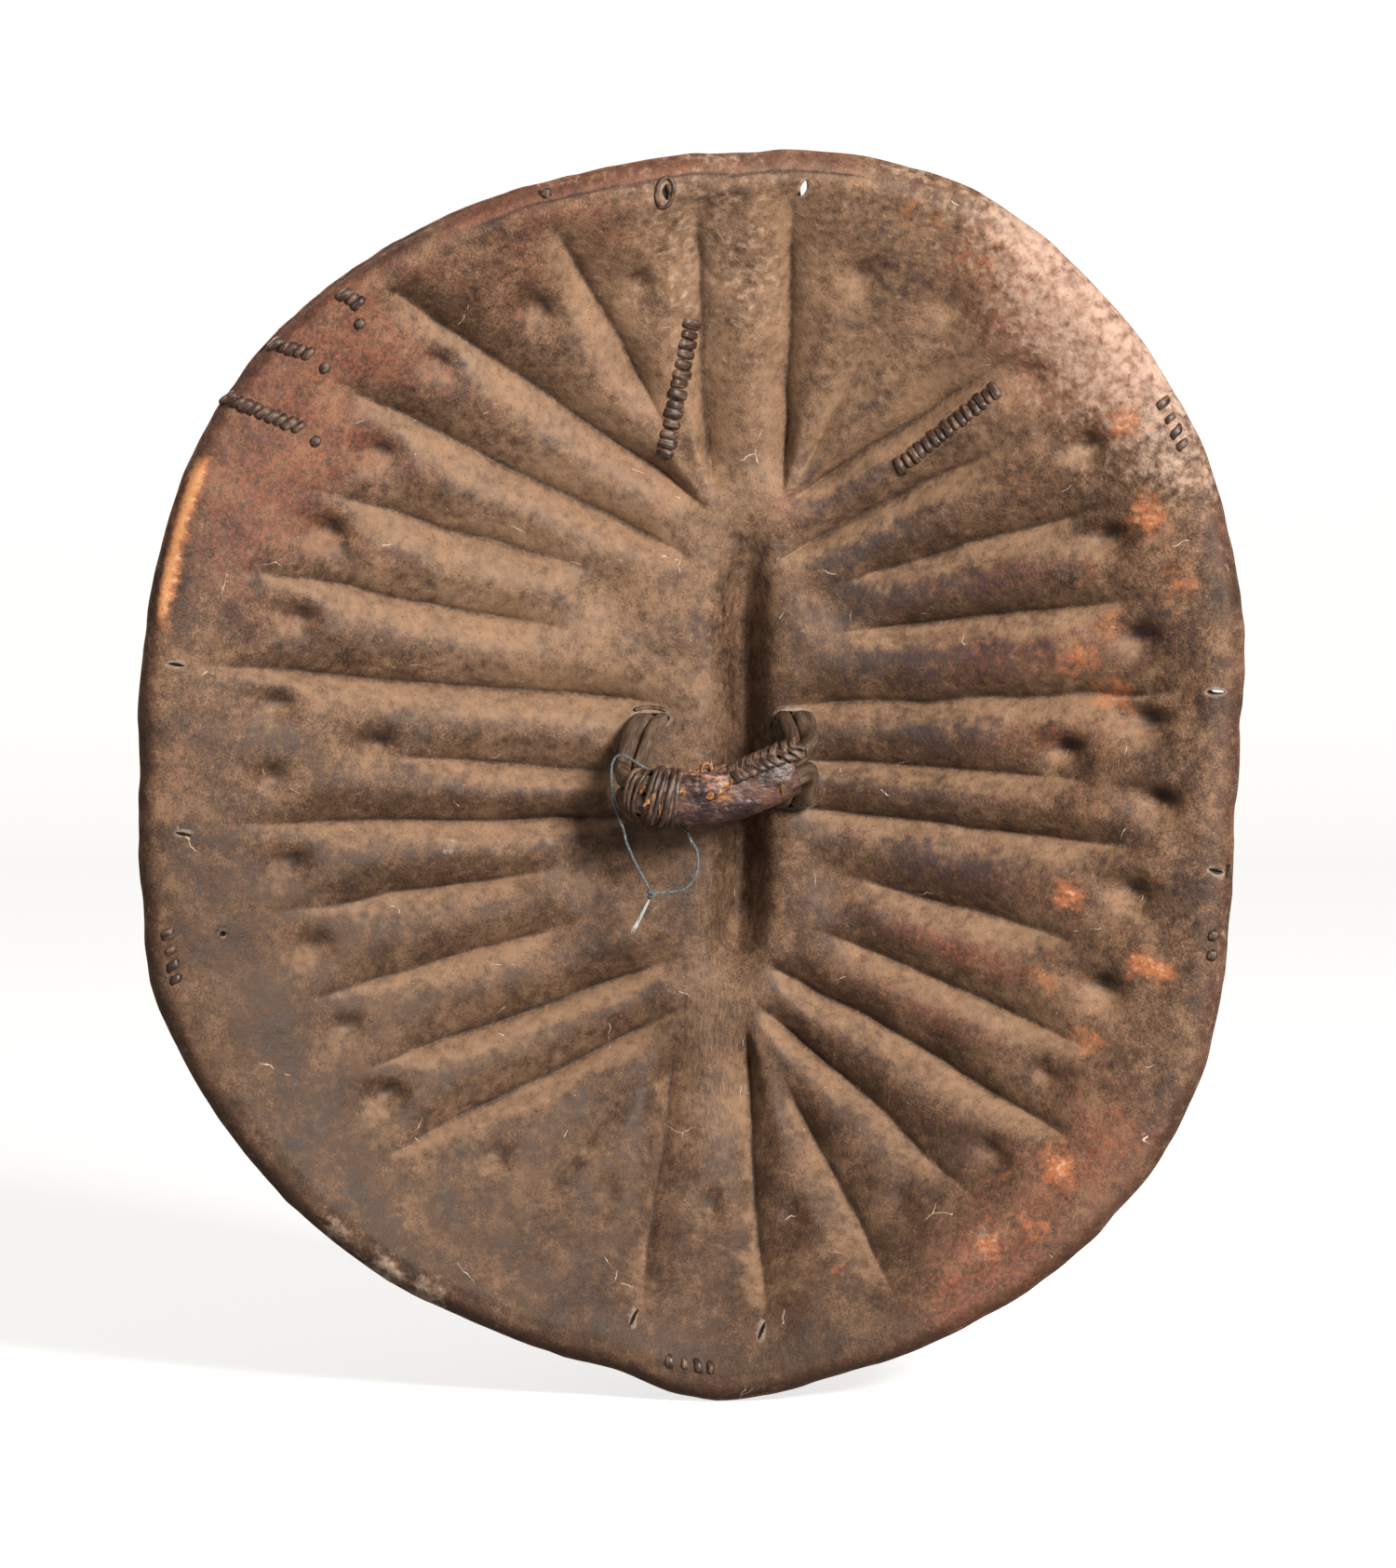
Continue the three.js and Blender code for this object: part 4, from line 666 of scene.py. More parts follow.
groove = 1 / (1 + np.exp(np.clip((fromShoulder + hide["wallMiddle"]) / hide["wallSoftness"], -30, 30)))
base = dish + np.concatenate([np.zeros(len(wall) + len(field)), roll]) + hide["grooveDepth"] * ends * groove
fade = np.concatenate([np.ones(len(wall)), 1 - smoothstep(field, hide["flatStart"], 1), np.zeros(len(rimSteps))])
innerDepth = hide["rimPlane"] + base + relief(places, hide["bluntness"]) * fade
inner = inSpace(places, innerDepth)


# The far side is a ball's width behind: at each place the furthest of its neighbours' depth +
# √(t² - distance²) - t, where t is the thickness, so that a sharp crease is a round rib behind
def swollen(depth, reach, axis):
    count, found = depth.shape[axis], depth
    for shift in range(-reach, reach + 1):
        index = np.arange(count) + shift
        index = index % count if axis == 0 else np.clip(index, 0, count - 1)
        gap = np.linalg.norm(np.take(places, index, axis) - places, axis=-1)
        height = np.sqrt(np.maximum(hide["thickness"] ** 2 - gap ** 2, 0)) - hide["thickness"]
        found = np.where(gap < hide["thickness"], np.maximum(found, np.take(depth, index, axis) + height), found)
    return found


reachAround, reachOut = hide["ballReach"]
outerDepth = swollen(swollen(innerDepth, reachAround, 0), reachOut, 1) + hide["thickness"]
outer = inSpace(places, outerDepth)
turn = np.linspace(0, np.pi, hide["edgeRows"] + 2)[1:-1]
bulge = hide["edgeBulge"] * np.sin(turn)[:, None]
nearEdge, farEdge = inner[:, -1, 1][:, None], outer[:, -1, 1][:, None]
edge = inSpace(rim[:, None] + out[:, None] * bulge, nearEdge + (farEdge - nearEdge) * (1 - np.cos(turn)) / 2)
last, fine = inner.shape[1] - 1, hide["fineOuterRows"]
outerRows = np.concatenate([np.arange(0, fine, 2), np.arange(fine, last, hide["outerRowStep"]), [last]])
skin = np.concatenate([inner, edge, outer[:, outerRows[::-1]]], 1)
rows = skin.shape[1]


# The groove's floor closes as a zip does: going down, each new corner joins the last corner of either side
def zipFaces(row, flip):
    split = int(hide["zipSplit"] * hide["columnsPerFold"])
    right, left = np.arange(split), np.arange(columns - 1, split - 1, -1)
    heights = [np.maximum.accumulate(-skin[side, row, 2]) for side in (right, left)]
    both = np.concatenate([right, left])
    order = np.argsort(np.concatenate(heights), kind="stable")
    isRight = order < len(right)
    step = np.arange(len(order))
    lastRight = both[order[np.maximum.accumulate(np.where(isRight, step, -1))]]
    lastLeft = both[order[np.maximum.accumulate(np.where(isRight, -1, step))]]
    begin = max(np.argmax(isRight), np.argmax(~isRight)) + 1
    faces = np.stack([lastLeft[begin - 1:-1], both[order[begin:]], lastRight[begin - 1:-1]], 1) * rows + row
    return faces[:, ::-1] if flip else faces


column, row = np.meshgrid(np.arange(columns), np.arange(rows - 1), indexing="ij")
here, beside = column * rows + row, (column + 1) % columns * rows + row
grid = stacked(here, beside, beside + 1, here + 1).reshape(-1, 4)
hideFaces = [grid, zipFaces(0, False), zipFaces(rows - 1, True)]
hidePiece = addPiece("pressedHide", skin.reshape(-1, 3), hideFaces, None)
print("hide pressed:", len(skin.reshape(-1, 3)), "points")

innerFlat = inner.reshape(-1, 3)[:, [0, 2]].astype(np.float32)
innerY, outerY = inner.reshape(-1, 3)[:, 1], outer.reshape(-1, 3)[:, 1]


# Depth of the hide's near and far face at places, from the four nearest grid points weighted by 1 / distance²
def hideAt(wanted):
    wanted = np.asarray(wanted, np.float32)
    found = []
    for part in np.array_split(wanted, max(len(wanted) // 200, 1)):
        square = ((part[:, None] - innerFlat[None]) ** 2).sum(2)
        nearest = np.argpartition(square, 4, axis=1)[:, :4]
        weight = 1 / (np.take_along_axis(square, nearest, 1) + 0.05)
        weight /= weight.sum(1, keepdims=True)
        found.append(stacked(*((face[nearest] * weight).sum(1) for face in (innerY, outerY))))
    return np.vstack(found).T


# Slots and slits that go through: (across, up) as shares or (x, z), half length, half width, degrees, power,
# and how far the knife slanted on its way through, in millimetres across and up
rimSlots = [
    (-0.112, 0.931, 4.6, 1.7, 80, 1.35, 3.6, 0), (0.109, 0.938, 4.4, 1.7, 75, 1.35, 0, 0),
    (-0.894, 0.177, 4.8, 1.0, 0, 1.6, 0, -4), (-0.883, -0.094, 4.8, 1.0, 0, 1.6, 0, -4),
    (0.767, 0.133, 5, 1.3, 0, 2.6, 3, 1), (0.77, -0.155, 4.4, 1.2, -20, 1.6, 0, 4),
    (-0.164, -0.874, 4.8, 0.9, 88, 1.6, 3, 0), (0.042, -0.896, 4.8, 1.1, 84, 1.6, 3, 0),
]
grip = {
    "halfSpan": 45, "standOff": 50, "rise": 24, "slitSpread": (27, 24),
    "outerWidth": (9, 13), "innerWidth": (6.5, 7.5), "thickness": (11, 7), "gap": 0.6, "parting": (0.2, 0.88),
    "slitHalf": (10.9, 3.7), "frontTurn": 6.5, "frontStandOff": 1.2,
    "coverShares": (0.35, 0.692), "coverSlack": 2.3, "coverThickness": 1.5, "seamAngle": 72, "seamWidth": 3.4,
    "squareness": 0.78,
}
gripKnots = np.array([
    (-0.8, 1.4, 0.73), (-0.8, 1, 0.73), (-0.95, 0.62, 0.56), (-1.05, 0.31, 0.4), (-1.03, 0.13, 0.3),
    (-0.9, 0.01, 0.22), (-0.72, -0.02, 0.15), (-0.42, -0.02, 0.06), (0, -0.02, 0.06), (0.3, -0.01, 0.22),
    (0.62, 0, 0.5), (0.88, 0.05, 0.74), (1.07, 0.2, 0.93), (1.12, 0.38, 1), (1.07, 0.66, 0.97),
    (1.02, 1, 0.9), (1.02, 1.4, 0.9),
]) * (grip["halfSpan"], grip["standOff"], grip["rise"])
cuts = [(*toPlace(slot[:2]), *slot[2:]) for slot in rimSlots]
for knot, spreadOf in ((gripKnots[0], grip["slitSpread"][0]), (gripKnots[-1], grip["slitSpread"][1])):
    cuts += [(knot[0], knot[2] + side * spreadOf, *grip["slitHalf"], 0, 2.6, 0, -2.5 * side) for side in (1, -1)]
cuts.append((-276, -73.5, 1.5, 1.5, 0, 2, 3, 0))  # a small nail hole at the left
cutReach = (-60.0, 140.0)  # from before the hide to behind it

cutSides = 28
side = np.arange(cutSides)
beside = (side + 1) % cutSides
cutPoints, cutFaces = [], []
for number, (x, z, halfLength, halfWidth, degrees, power, *slant) in enumerate(cuts):
    flat, upright = circle(side / cutSides * 2 * np.pi, 2 / power)
    ring = stacked(*turned(flat * halfLength, upright * halfWidth, degrees)) + (x, z)
    faceDepth = hideAt([(x, z)])[0, 0]
    for depth in cutReach:
        cutPoints.append(inSpace(ring + np.array(slant) * (depth - faceDepth) / hide["thickness"], depth))
    walls = stacked(side, side + cutSides, beside + cutSides, beside)
    cutFaces += [group + number * 2 * cutSides for group in (walls, side[None], side[None, ::-1] + cutSides)]
cutter = addPiece("cutter", np.vstack(cutPoints), cutFaces, None)
cutting = hidePiece.modifiers.new("cut", "BOOLEAN")
cutting.operation, cutting.object, cutting.solver = "DIFFERENCE", cutter, "EXACT"
evaluated = hidePiece.evaluated_get(bpy.context.evaluated_depsgraph_get())
cutMesh = bpy.data.meshes.new_from_object(evaluated)
hidePiece.modifiers.clear()
hidePiece.data = cutMesh
bpy.data.objects.remove(cutter)
print("slots cut:", len(cutMesh.vertices), "points")

# Where stains, dust, rubbed places, darker areas and painted light lie: x, z, radius, strength
stainsAndPaintedLight = {
    # darker areas, most towards the bottom
    "smoke": [(-25, 10, 70, 0.3), (-160, -200, 150, 0.5), (0, -250, 130, 0.9), (130, -200, 130, 0.45),
        (-250, -60, 90, 0.45), (150, -40, 110, 0.35), (-60, -90, 90, 0.2), (-230, -110, 100, 0.25),
        (60, 60, 60, 0.4), (120, 120, 90, 0.4)],
    # tan dust; the spots along the groove's two walls and at the top and upper right are painted light
    "dust": [(20, 290, 120, 0.5), (190, 280, 80, 0.6), (-14, 140, 20, 0.7), (-14, 60, 20, 0.7), (-13, -20, 20, 0.7),
        (-10, -100, 22, 0.7), (-2, -180, 30, 0.6), (24, 110, 18, 0.5), (24, 20, 18, 0.5), (22, -70, 18, 0.5),
        (190, -130, 60, 0.4), (0, 300, 80, 0.9), (60, 310, 60, 0.5), (180, 265, 80, 0.8), (200, 80, 60, 0.5),
        (-108, 117, 80, 0.8), (-60, 60, 70, 0.5), (-85, -140, 120, 0.3), (-180, -165, 110, 0.25),
        (-65, 170, 80, 0.6), (-245, 130, 70, 0.35), (20, 210, 50, 0.5), (200, -80, 70, 0.4), (50, 140, 40, 0.3),
        (90, 240, 70, 0.3), (-240, 230, 70, 0.3), (20, -130, 30, 0.4)],
    "red": [(120, 120, 60, 0.5), (160, 60, 60, 0.5), (110, -60, 60, 0.45), (130, -125, 60, 0.45),
        (-245, 280, 105, 0.7), (-75, 325, 60, 0.75), (-190, 230, 85, 0.6), (185, 290, 85, 0.8), (225, 260, 60, 0.8),
        (-275, 160, 55, 0.5), (210, 85, 80, 0.55), (175, -70, 80, 0.5), (-230, 85, 80, 0.45), (-215, -100, 60, 0.3),
        (170, -255, 70, 0.7), (-35, 230, 30, 0.5), (45, 165, 26, 0.7), (226, -190, 50, 0.7), (145, -287, 40, 0.7),
        (-300, 20, 30, 0.5), (50, -130, 30, 0.4)],
    "dark": [(90, 105, 30, 0.7), (135, 62, 34, 0.7), (95, 5, 30, 0.4), (103, 179, 32, 0.8), (161, 198, 28, 0.6),
        (64, 171, 24, 0.8), (126, 125, 40, 0.8), (149, 90, 40, 0.9), (107, 79, 34, 0.8), (192, 98, 26, 0.6),
        (246, 106, 24, 0.8), (68, 140, 22, 0.8), (118, -28, 34, 0.7), (145, -36, 30, 0.7), (103, -67, 30, 0.5),
        (192, -32, 30, 0.6), (269, -40, 22, 0.6), (-261, 210, 26, 0.7), (-37, -115, 22, 0.7), (-145, -156, 30, 0.5),
        (-215, -133, 26, 0.5), (-240, -187, 22, 0.5), (-76, -272, 24, 0.7), (-134, -190, 18, 0.7),
        (60, 40, 30, 0.5), (70, 230, 45, 0.4), (120, 280, 40, 0.5), (140, 40, 40, 0.5), (150, -130, 40, 0.4),
        (-180, 200, 40, 0.35), (-65, 230, 40, 0.3), (-175, 115, 50, 0.3), (120, -200, 50, 0.35),
        (-20, -300, 50, 0.4), (100, 330, 40, 0.5), (-155, 0, 40, 0.25)],
    # pale scuffs; at the top and upper right they are partly painted light
    "pale": [(5, 300, 60, 0.55), (205, 270, 70, 0.35), (230, 250, 50, 0.6), (200, 290, 40, 0.6),
        (165, 325, 40, 0.5), (250, 290, 40, 0.6), (250, 205, 35, 0.45), (265, 180, 25, 0.4), (115, 350, 30, 0.4),
        (-215, -242, 12, 0.9), (-185, -264, 14, 1), (-160, -278, 12, 0.9), (-35, 358, 40, 0.3), (-149, -28, 6, 0.8),
        (153, -250, 14, 0.6), (-175, 60, 60, 0.1)],
    # orange rubbed spots, with painted glints on the bumps of the right margin
    "orangeRubsAndGlints": [(230, 212, 12, 0.9), (242, 162, 12, 0.8), (111, 337, 16, 0.5), (145, 305, 24, 0.35),
        (223, 280, 20, 0.4), (261, 125, 14, 0.5), (205, 81, 12, 0.6), (176, 183, 20, 0.3), (199, -53, 10, 0.7),
        (240, -91, 9, 0.9), (253, -95, 7, 0.8), (186, -100, 8, 0.6), (194, -206, 12, 0.8), (180, -237, 13, 0.6),
        (153, -248, 11, 0.6), (70, -262, 10, 0.5), (226, -192, 18, 0.4), (225, 150, 80, 0.3), (225, 30, 70, 0.25),
        (215, -60, 70, 0.3), (180, -170, 70, 0.25), (120, -235, 70, 0.2), (226, 60, 12, 0.6), (212, -136, 11, 0.6),
        (225, 100, 10, 0.5), (136, -264, 8, 0.5), (150, 300, 70, 0.25), (-230, 200, 80, 0.12), (-77, 311, 14, 0.4)],
    "fibre": [(0, 40, 26, 0.7), (0, -10, 26, 0.7), (5, -60, 28, 0.8), (5, -110, 34, 0.8), (0, -160, 40, 0.7),
        (-5, -210, 45, 0.55), (0, 90, 26, 0.5), (0, 170, 30, 0.3)],
}
# Sizes for the marks: wear, and painted light and shade on flanks, dents, slots and creases
wearAndPaintedLight = {
    "creaseWidths": (2.4, 5), "lipMargin": 2, "lipFade": (0.75, 1.35), "slitCrease": 0.75, "slitMargins": (5, 7),
    "towardsLight": (0.5, 1.4), "flank": (0.08, 0.5), "crown": (0.05, 0.5),
    "pitPlace": (1.5, 2.5), "pitHalf": (8.5, 5.5), "lipPlace": (-7.5, -8.5), "lipRadius": 6, "dentLipHighlight": 0.28,
    "cutMargin": 0.6, "cutSteepness": 0.72, "farShare": 0.3,
}
rimHighlightPlaces = [(-290, 185), (-296, 160), (-301, 135), (-305, 112)]  # the rubbed, shiny strip on the left rim, where a painted highlight lies


# Sum of hills round the listed places, no more than 1
def stained(places, spots):
    total = np.zeros(len(places))
    for x, z, radius, strength in spots:
        total += strength * hill(np.linalg.norm(places - (x, z), axis=1) / radius)
    return np.clip(total, 0, 1)


# A vector for each vertex or face, one in a row
def meshValues(items, field):
    values = np.empty(len(items) * 3, np.float32)
    items.foreach_get(field, values)
    return values.reshape(-1, 3)


# Places in a cut's own directions, as shares of its half length and half width with a margin added
def cutShares(places, cut, alongMargin, acrossMargin):
    x, z, halfLength, halfWidth, degrees, *_ = cut
    along, across = turned(*(places - (x, z)).T, -degrees)
    return along / (halfLength + alongMargin), across / (halfWidth + acrossMargin)


count = len(cutMesh.vertices)
flatPlaces = (meshValues(cutMesh.vertices, "co") / mm)[:, [0, 2]].astype(float)
normals = meshValues(cutMesh.vertices, "normal")
near = smoothstep(-normals[:, 1], -0.3, 0.3)
# Dark crease lines: painted shade along each fold
crease, creaseNear, valleys = np.zeros(count), np.zeros(count), np.zeros(count)
for fold in range(len(foldTable)):
    across, strength, valley = valleyAt(flatPlaces, fold, 0.5)
    narrow, broad = (strength * np.exp(-np.abs(across) / width) for width in wearAndPaintedLight["creaseWidths"])
    crease, creaseNear = np.maximum(crease, narrow), np.maximum(creaseNear, broad)
    valleys = np.maximum(valleys, valley)
# A painted highlight round the lip of each slot
lip = np.zeros(count)
for cut in cuts:
    along, across = cutShares(flatPlaces, cut, wearAndPaintedLight["lipMargin"], wearAndPaintedLight["lipMargin"])
    lip = np.maximum(lip, 1 - smoothstep(np.hypot(along, across), *wearAndPaintedLight["lipFade"]))
marks = {name: stained(flatPlaces, spots) for name, spots in stainsAndPaintedLight.items()}
crown = 1 - smoothstep(valleys, *wearAndPaintedLight["crown"])  # the proud middle of each panel
step = np.array(wearAndPaintedLight["towardsLight"])  # painted light: the flanks that face the key light are lightened
upwards = (relief(flatPlaces + step, hide["bluntness"]) - relief(flatPlaces - step, hide["bluntness"])) / 3
lit, shaded = (smoothstep(slope, *wearAndPaintedLight["flank"]) for slope in (upwards, -upwards))
# Painted light: flanks that face the key light, most of all beside a crease, get the dust colour as well
dustAndLitFlanks = marks["dust"] * (1 - 0.35 * crown) + 0.55 * lit + 0.65 * lit * creaseNear
marks["dust"] = np.clip(dustAndLitFlanks, 0, 1) * near
# Painted shade: flanks that face away from the key light get the darker colour as well
marks["smoke"] = np.clip(marks["smoke"] + 0.3 * crown * (1 - marks["dust"]) + 0.7 * shaded, 0, 1)
# Painted shade round each grip slit
for cut in cuts[len(rimSlots):]:
    crease = np.maximum(crease, wearAndPaintedLight["slitCrease"] * hill(np.hypot(*cutShares(flatPlaces, cut, *wearAndPaintedLight["slitMargins"]))))
pit = np.zeros(count)
for place, out, strength in zip(dentPlaces, dentOut, dentStrengths):  # painted shade: a dark oval in the upper right of each dent, and a painted highlight on its lower left lip
    offset = flatPlaces - place - wearAndPaintedLight["pitPlace"]
    halfLong, halfWide = wearAndPaintedLight["pitHalf"]
    pit = pit + min(strength, 1) * hill(np.hypot(offset @ out / halfLong, offset @ (out[1], -out[0]) / halfWide))
    lipAt = np.linalg.norm(flatPlaces - place - wearAndPaintedLight["lipPlace"], axis=1) / wearAndPaintedLight["lipRadius"]
    marks["dust"] = np.clip(marks["dust"] + wearAndPaintedLight["dentLipHighlight"] * strength * hill(lipAt) * near, 0, 1)
marks["pit"] = pit * near
marks["red"] *= 0.4 + 0.6 * crown
marks["dark"] *= 0.45 + 0.55 * crown
marks["crease"] = crease * near
marks["lip"] = lip
rimAngle = np.degrees(np.arctan2(flatPlaces[:, 1] - hide["centre"][1], flatPlaces[:, 0] - hide["centre"][0]))
inwards = outlineReach(rimAngle) - np.linalg.norm(flatPlaces - hide["centre"], axis=1)
# Painted highlight along the rubbed strip of the left rim: gold in the middle, orange round it
rimHighlightStrip = np.zeros(count)
for x, z in rimHighlightPlaces:
    rimHighlightStrip += hill(np.hypot((flatPlaces[:, 0] - x) / 11, (flatPlaces[:, 1] - z) / 17))
stripWidth = 4.6 + 2 * noise(flatPlaces * (0, 1), 22, 35)
marks["orangeRubsAndGlints"] = np.clip(marks["orangeRubsAndGlints"] + rimHighlightStrip * hill((inwards - 7.5) / (stripWidth + 4)), 0, 1)
marks["gold"] = np.clip(rimHighlightStrip, 0, 1) * hill((inwards - 6.5) / stripWidth)
foldedLip = smoothstep(rimAngle, 74, 80) * (1 - smoothstep(rimAngle, 112, 122))
lipLine = inwards - 10.5 - 1.2 * noise(flatPlaces, 12, 31)
marks["crease"] = np.maximum(marks["crease"], near * foldedLip * hill(lipLine / 1.3))
marks["red"] = np.clip(marks["red"] + 0.7 * foldedLip * (lipLine < 0), 0, 1)
marks["pale"] = marks["pale"] + 0.35 * hill((inwards - 2) / 2.5) * smoothstep(noise(flatPlaces, 20, 33), 0.1, 0.5)
marks["rim"] = 1 - smoothstep(inwards, 6, 13)
marks["dark"] = np.clip(marks["dark"] * near + 0.35 * (1 - near), 0, 1)
for name in ("orangeRubsAndGlints", "red", "pale"):  # the far side was handled less
    marks[name] = marks[name] * (wearAndPaintedLight["farShare"] + (1 - wearAndPaintedLight["farShare"]) * near)
setMarks(cutMesh, marks)
faceNormals = meshValues(cutMesh.polygons, "normal")
faceCentres = meshValues(cutMesh.polygons, "center")[:, [0, 2]] / mm
# Painted shade on the faces inside the slots
inCut = np.zeros(len(faceCentres))
for cut in cuts:
    slant = np.array(cut[6:])
    margin = wearAndPaintedLight["cutMargin"] * (1 + np.hypot(*slant))
    along, across = np.abs(cutShares(faceCentres - slant / 2, cut, margin, margin))
    inCut = np.maximum(inCut, (np.maximum(along, across) < 1) & (np.abs(faceNormals[:, 1]) < wearAndPaintedLight["cutSteepness"]))
cutMesh.attributes.new("cutWallShade", "FLOAT", "FACE").data.foreach_set("value", inCut.astype(np.float32))
cutMesh.shade_smooth()
cutMesh.materials.clear()
cutMesh.materials.append(hideFinish)
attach(hidePiece, "root")
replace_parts(hidePiece, "hide_shell")
print("hide stained")

# Grip's middle line and its own directions
gripLine = alongKnots(gripKnots, np.linspace(0, 1, 1601))
gripWalked = walked(gripLine)


def barFrame(shares):  # place, direction out to the holder, up, and along, at shares of the grip's own knots
    at = alongKnots(gripKnots, shares)
    along = unit(alongKnots(gripKnots, shares + 1e-4) - alongKnots(gripKnots, shares - 1e-4))
    outwards = unit(np.stack([along[:, 1], -along[:, 0], np.zeros(len(at))], 1))
    up = unit(np.cross(outwards, along))
    return at, outwards, up * np.sign(up[:, 2:]), along


def byLength(shares):  # shares of the grip line's length to shares of its knots
    return np.interp(np.asarray(shares) * gripWalked[-1], gripWalked, np.linspace(0, 1, len(gripLine)))


# A strap: up one run of the grip, over the hide's far side between two slits, and back on the other run
def strapStations(isOuter):
    shares = np.linspace(0.07, 0.93, 110)
    at, outwards, _, _ = barFrame(shares)
    part = smoothstep(at[:, 1] / grip["standOff"], *grip["parting"])
    outerWide, innerWide, thick = (first + (last - first) * part for first, last in
                                   (grip["outerWidth"], grip["innerWidth"], grip["thickness"]))
    slitSpread = np.where(at[:, 0] < 0, *grip["slitSpread"])
    split = (grip["thickness"][0] + grip["gap"]) / 2 * (1 - part) + slitSpread * part
    shift = (innerWide + grip["gap"]) / 2 if isOuter else -(outerWide + grip["gap"]) / 2
    wide = outerWide if isOuter else innerWide
    upper, lower = (np.hstack([at + outwards * shift[:, None] + stacked(0, 0, side * split), outwards,
                               stacked(wide, thick)]) for side in (1, -1))
    return np.vstack([upper, strapBridge(isOuter, False, 1), lower[::-1], strapBridge(isOuter, True, -1)])


def strapBridge(isOuter, atLeft, side):
    knot = gripKnots[0 if atLeft else -1]
    sign = -1 if atLeft else 1
    slitSpread = grip["slitSpread"][0 if atLeft else 1]
    outerWide, innerWide, thick = grip["outerWidth"][1], grip["innerWidth"][1], grip["thickness"][1]
    reach = (outerWide + innerWide + grip["gap"]) / 2
    seats = stacked(*np.meshgrid([-reach, 0, reach], np.linspace(-slitSpread, slitSpread, 15))).reshape(-1, 2)
    depth = hideAt(seats + knot[[0, 2]])[1].max() + thick / 2 + grip["frontStandOff"]
    shift = (innerWide + grip["gap"]) / 2 if isOuter else -(outerWide + grip["gap"]) / 2
    forwards, upwards = circle(np.linspace(0, np.pi / 2, 10))
    depths = depth - grip["frontTurn"] * (1 - upwards)
    rises = slitSpread - grip["frontTurn"] * (1 - forwards)
    depths, rises = np.concatenate([depths, depths[::-1]]), np.concatenate([rises, -rises[::-1]]) * side
    wide = outerWide if isOuter else innerWide
    return stacked(knot[0] + sign * shift, depths, knot[2] + rises, sign, 0, 0, wide, thick)


# Dried rawhide: long shallow ridges along the strap and slow lumps
def strapRelief(straight, turn):
    return 0.28 * noise(straight / (9, 1, 1), 2.2, 3) + 0.35 * noise(straight, 9, 8)


for isOuter, node in ((True, "outer_grip_strap"), (False, "inner_grip_strap")):
    stations = strapStations(isOuter)
    ring = tube(stations[:, :3], stations[:, 3:6], stations[:, 6], stations[:, 7], 22, 0.85, closed=True,
                relief=strapRelief, spacing=1.3)
    piece = addTubes("outerStrap" if isOuter else "innerStrap", strapFinish, "rawhide_strap", ring)
    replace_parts(piece, node)
print("straps made")

# Cover: a sleeve of leather round the bar, its seam torn open along the top
coverRoom = grip["coverSlack"] + grip["coverThickness"]
halfWidth = (grip["outerWidth"][0] + grip["innerWidth"][0] + grip["gap"]) / 2 + coverRoom
halfHeight = grip["thickness"][0] + grip["gap"] / 2 + coverRoom


# Point round the bar: place + squared cos(angle) · half width out + squared sin(angle) · half height up
def barPoint(shares, angle, lift):
    at, outwards, up, _ = barFrame(np.ravel(shares))
    shape = np.shape(shares)
    at, outwards, up = (part.reshape(*shape, 3) for part in (at, outwards, up))
    flat, upright = circle(angle, grip["squareness"])
    return at + outwards * (flat * (halfWidth + lift))[..., None] + up * (upright * (halfHeight + lift))[..., None]


coverStations, coverSides = 130, 110
shares = np.linspace(*grip["coverShares"], coverStations)[:, None]
around = np.linspace(0, 1, coverSides)[None]
fromSeam = np.minimum(around, 1 - around) * 2 * np.pi * halfHeight
seamPlace = stacked(shares[:, 0] * 200, 0)
ragged = grip["seamWidth"] / 2 + 1.1 * noise(seamPlace, 2.6, 2) + 0.6 * noise(seamPlace, 0.9, 3)
seamHalf = np.clip(ragged, 0.5, 4)[:, None] / halfHeight
angle = np.radians(grip["seamAngle"]) + seamHalf + around * (2 * np.pi - 2 * seamHalf)
shares = shares + 0 * angle
bar = barPoint(shares, angle, 0)
wrinkles = 0.9 * noise(bar * (0.4, 1, 1), 7, 4) + 0.35 * noise(bar, 2.6, 5)
lipUp = (1.5 + 0.9 * noise(bar, 3.2, 9)) * np.exp(-fromSeam / 2.6)
bump = 2.2 * hill(np.hypot(bar[..., 0] / 12, (bar[..., 2] - 15) / 7)) * (bar[..., 1] < 3)
outerSkin = barPoint(shares, angle, wrinkles + lipUp + bump)
innerSkin = barPoint(shares, angle, wrinkles * 0.5 - grip["coverThickness"])
rings = np.concatenate([outerSkin, innerSkin[:, ::-1]], 1)
sides = rings.shape[1]
faces = [ringFaces(coverStations, sides)]
side = np.arange(coverSides - 1)
for ring, flip in ((0, False), (coverStations - 1, True)):
    cap = stacked(side, sides - 1 - side, sides - 2 - side, side + 1) + ring * sides
    faces.append(cap[:, ::-1] if flip else cap)
flatRings = rings.reshape(-1, 3)
frontSide = smoothstep(-flatRings[:, 1], -4, 4)
marks = {
    "seam": np.exp(-np.tile(fromSeam, (coverStations, 2)).ravel() / 3.5),
    # rubbed leather with a painted highlight on the front of the bump
    "rubbedAndHighlight": hill(np.hypot(flatRings[:, 0] / 14, (flatRings[:, 2] - 14) / 7)) * frontSide,
    "torn": stained(flatRings[:, [0, 2]], [(-19, 4, 6, 0.7), (8, 7, 8, 0.7), (-45, 6, 8, 0.6), (-36, 2, 7, 0.6),
                                            (-28, -8, 5, 0.5), (-12, -9, 5, 0.4), (30, 6, 6, 0.4)]) * frontSide,
}
cover = addPiece("gripCover", flatRings, faces, coverFinish, marks=marks)
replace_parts(cover, "grip_cover")
print("cover made")


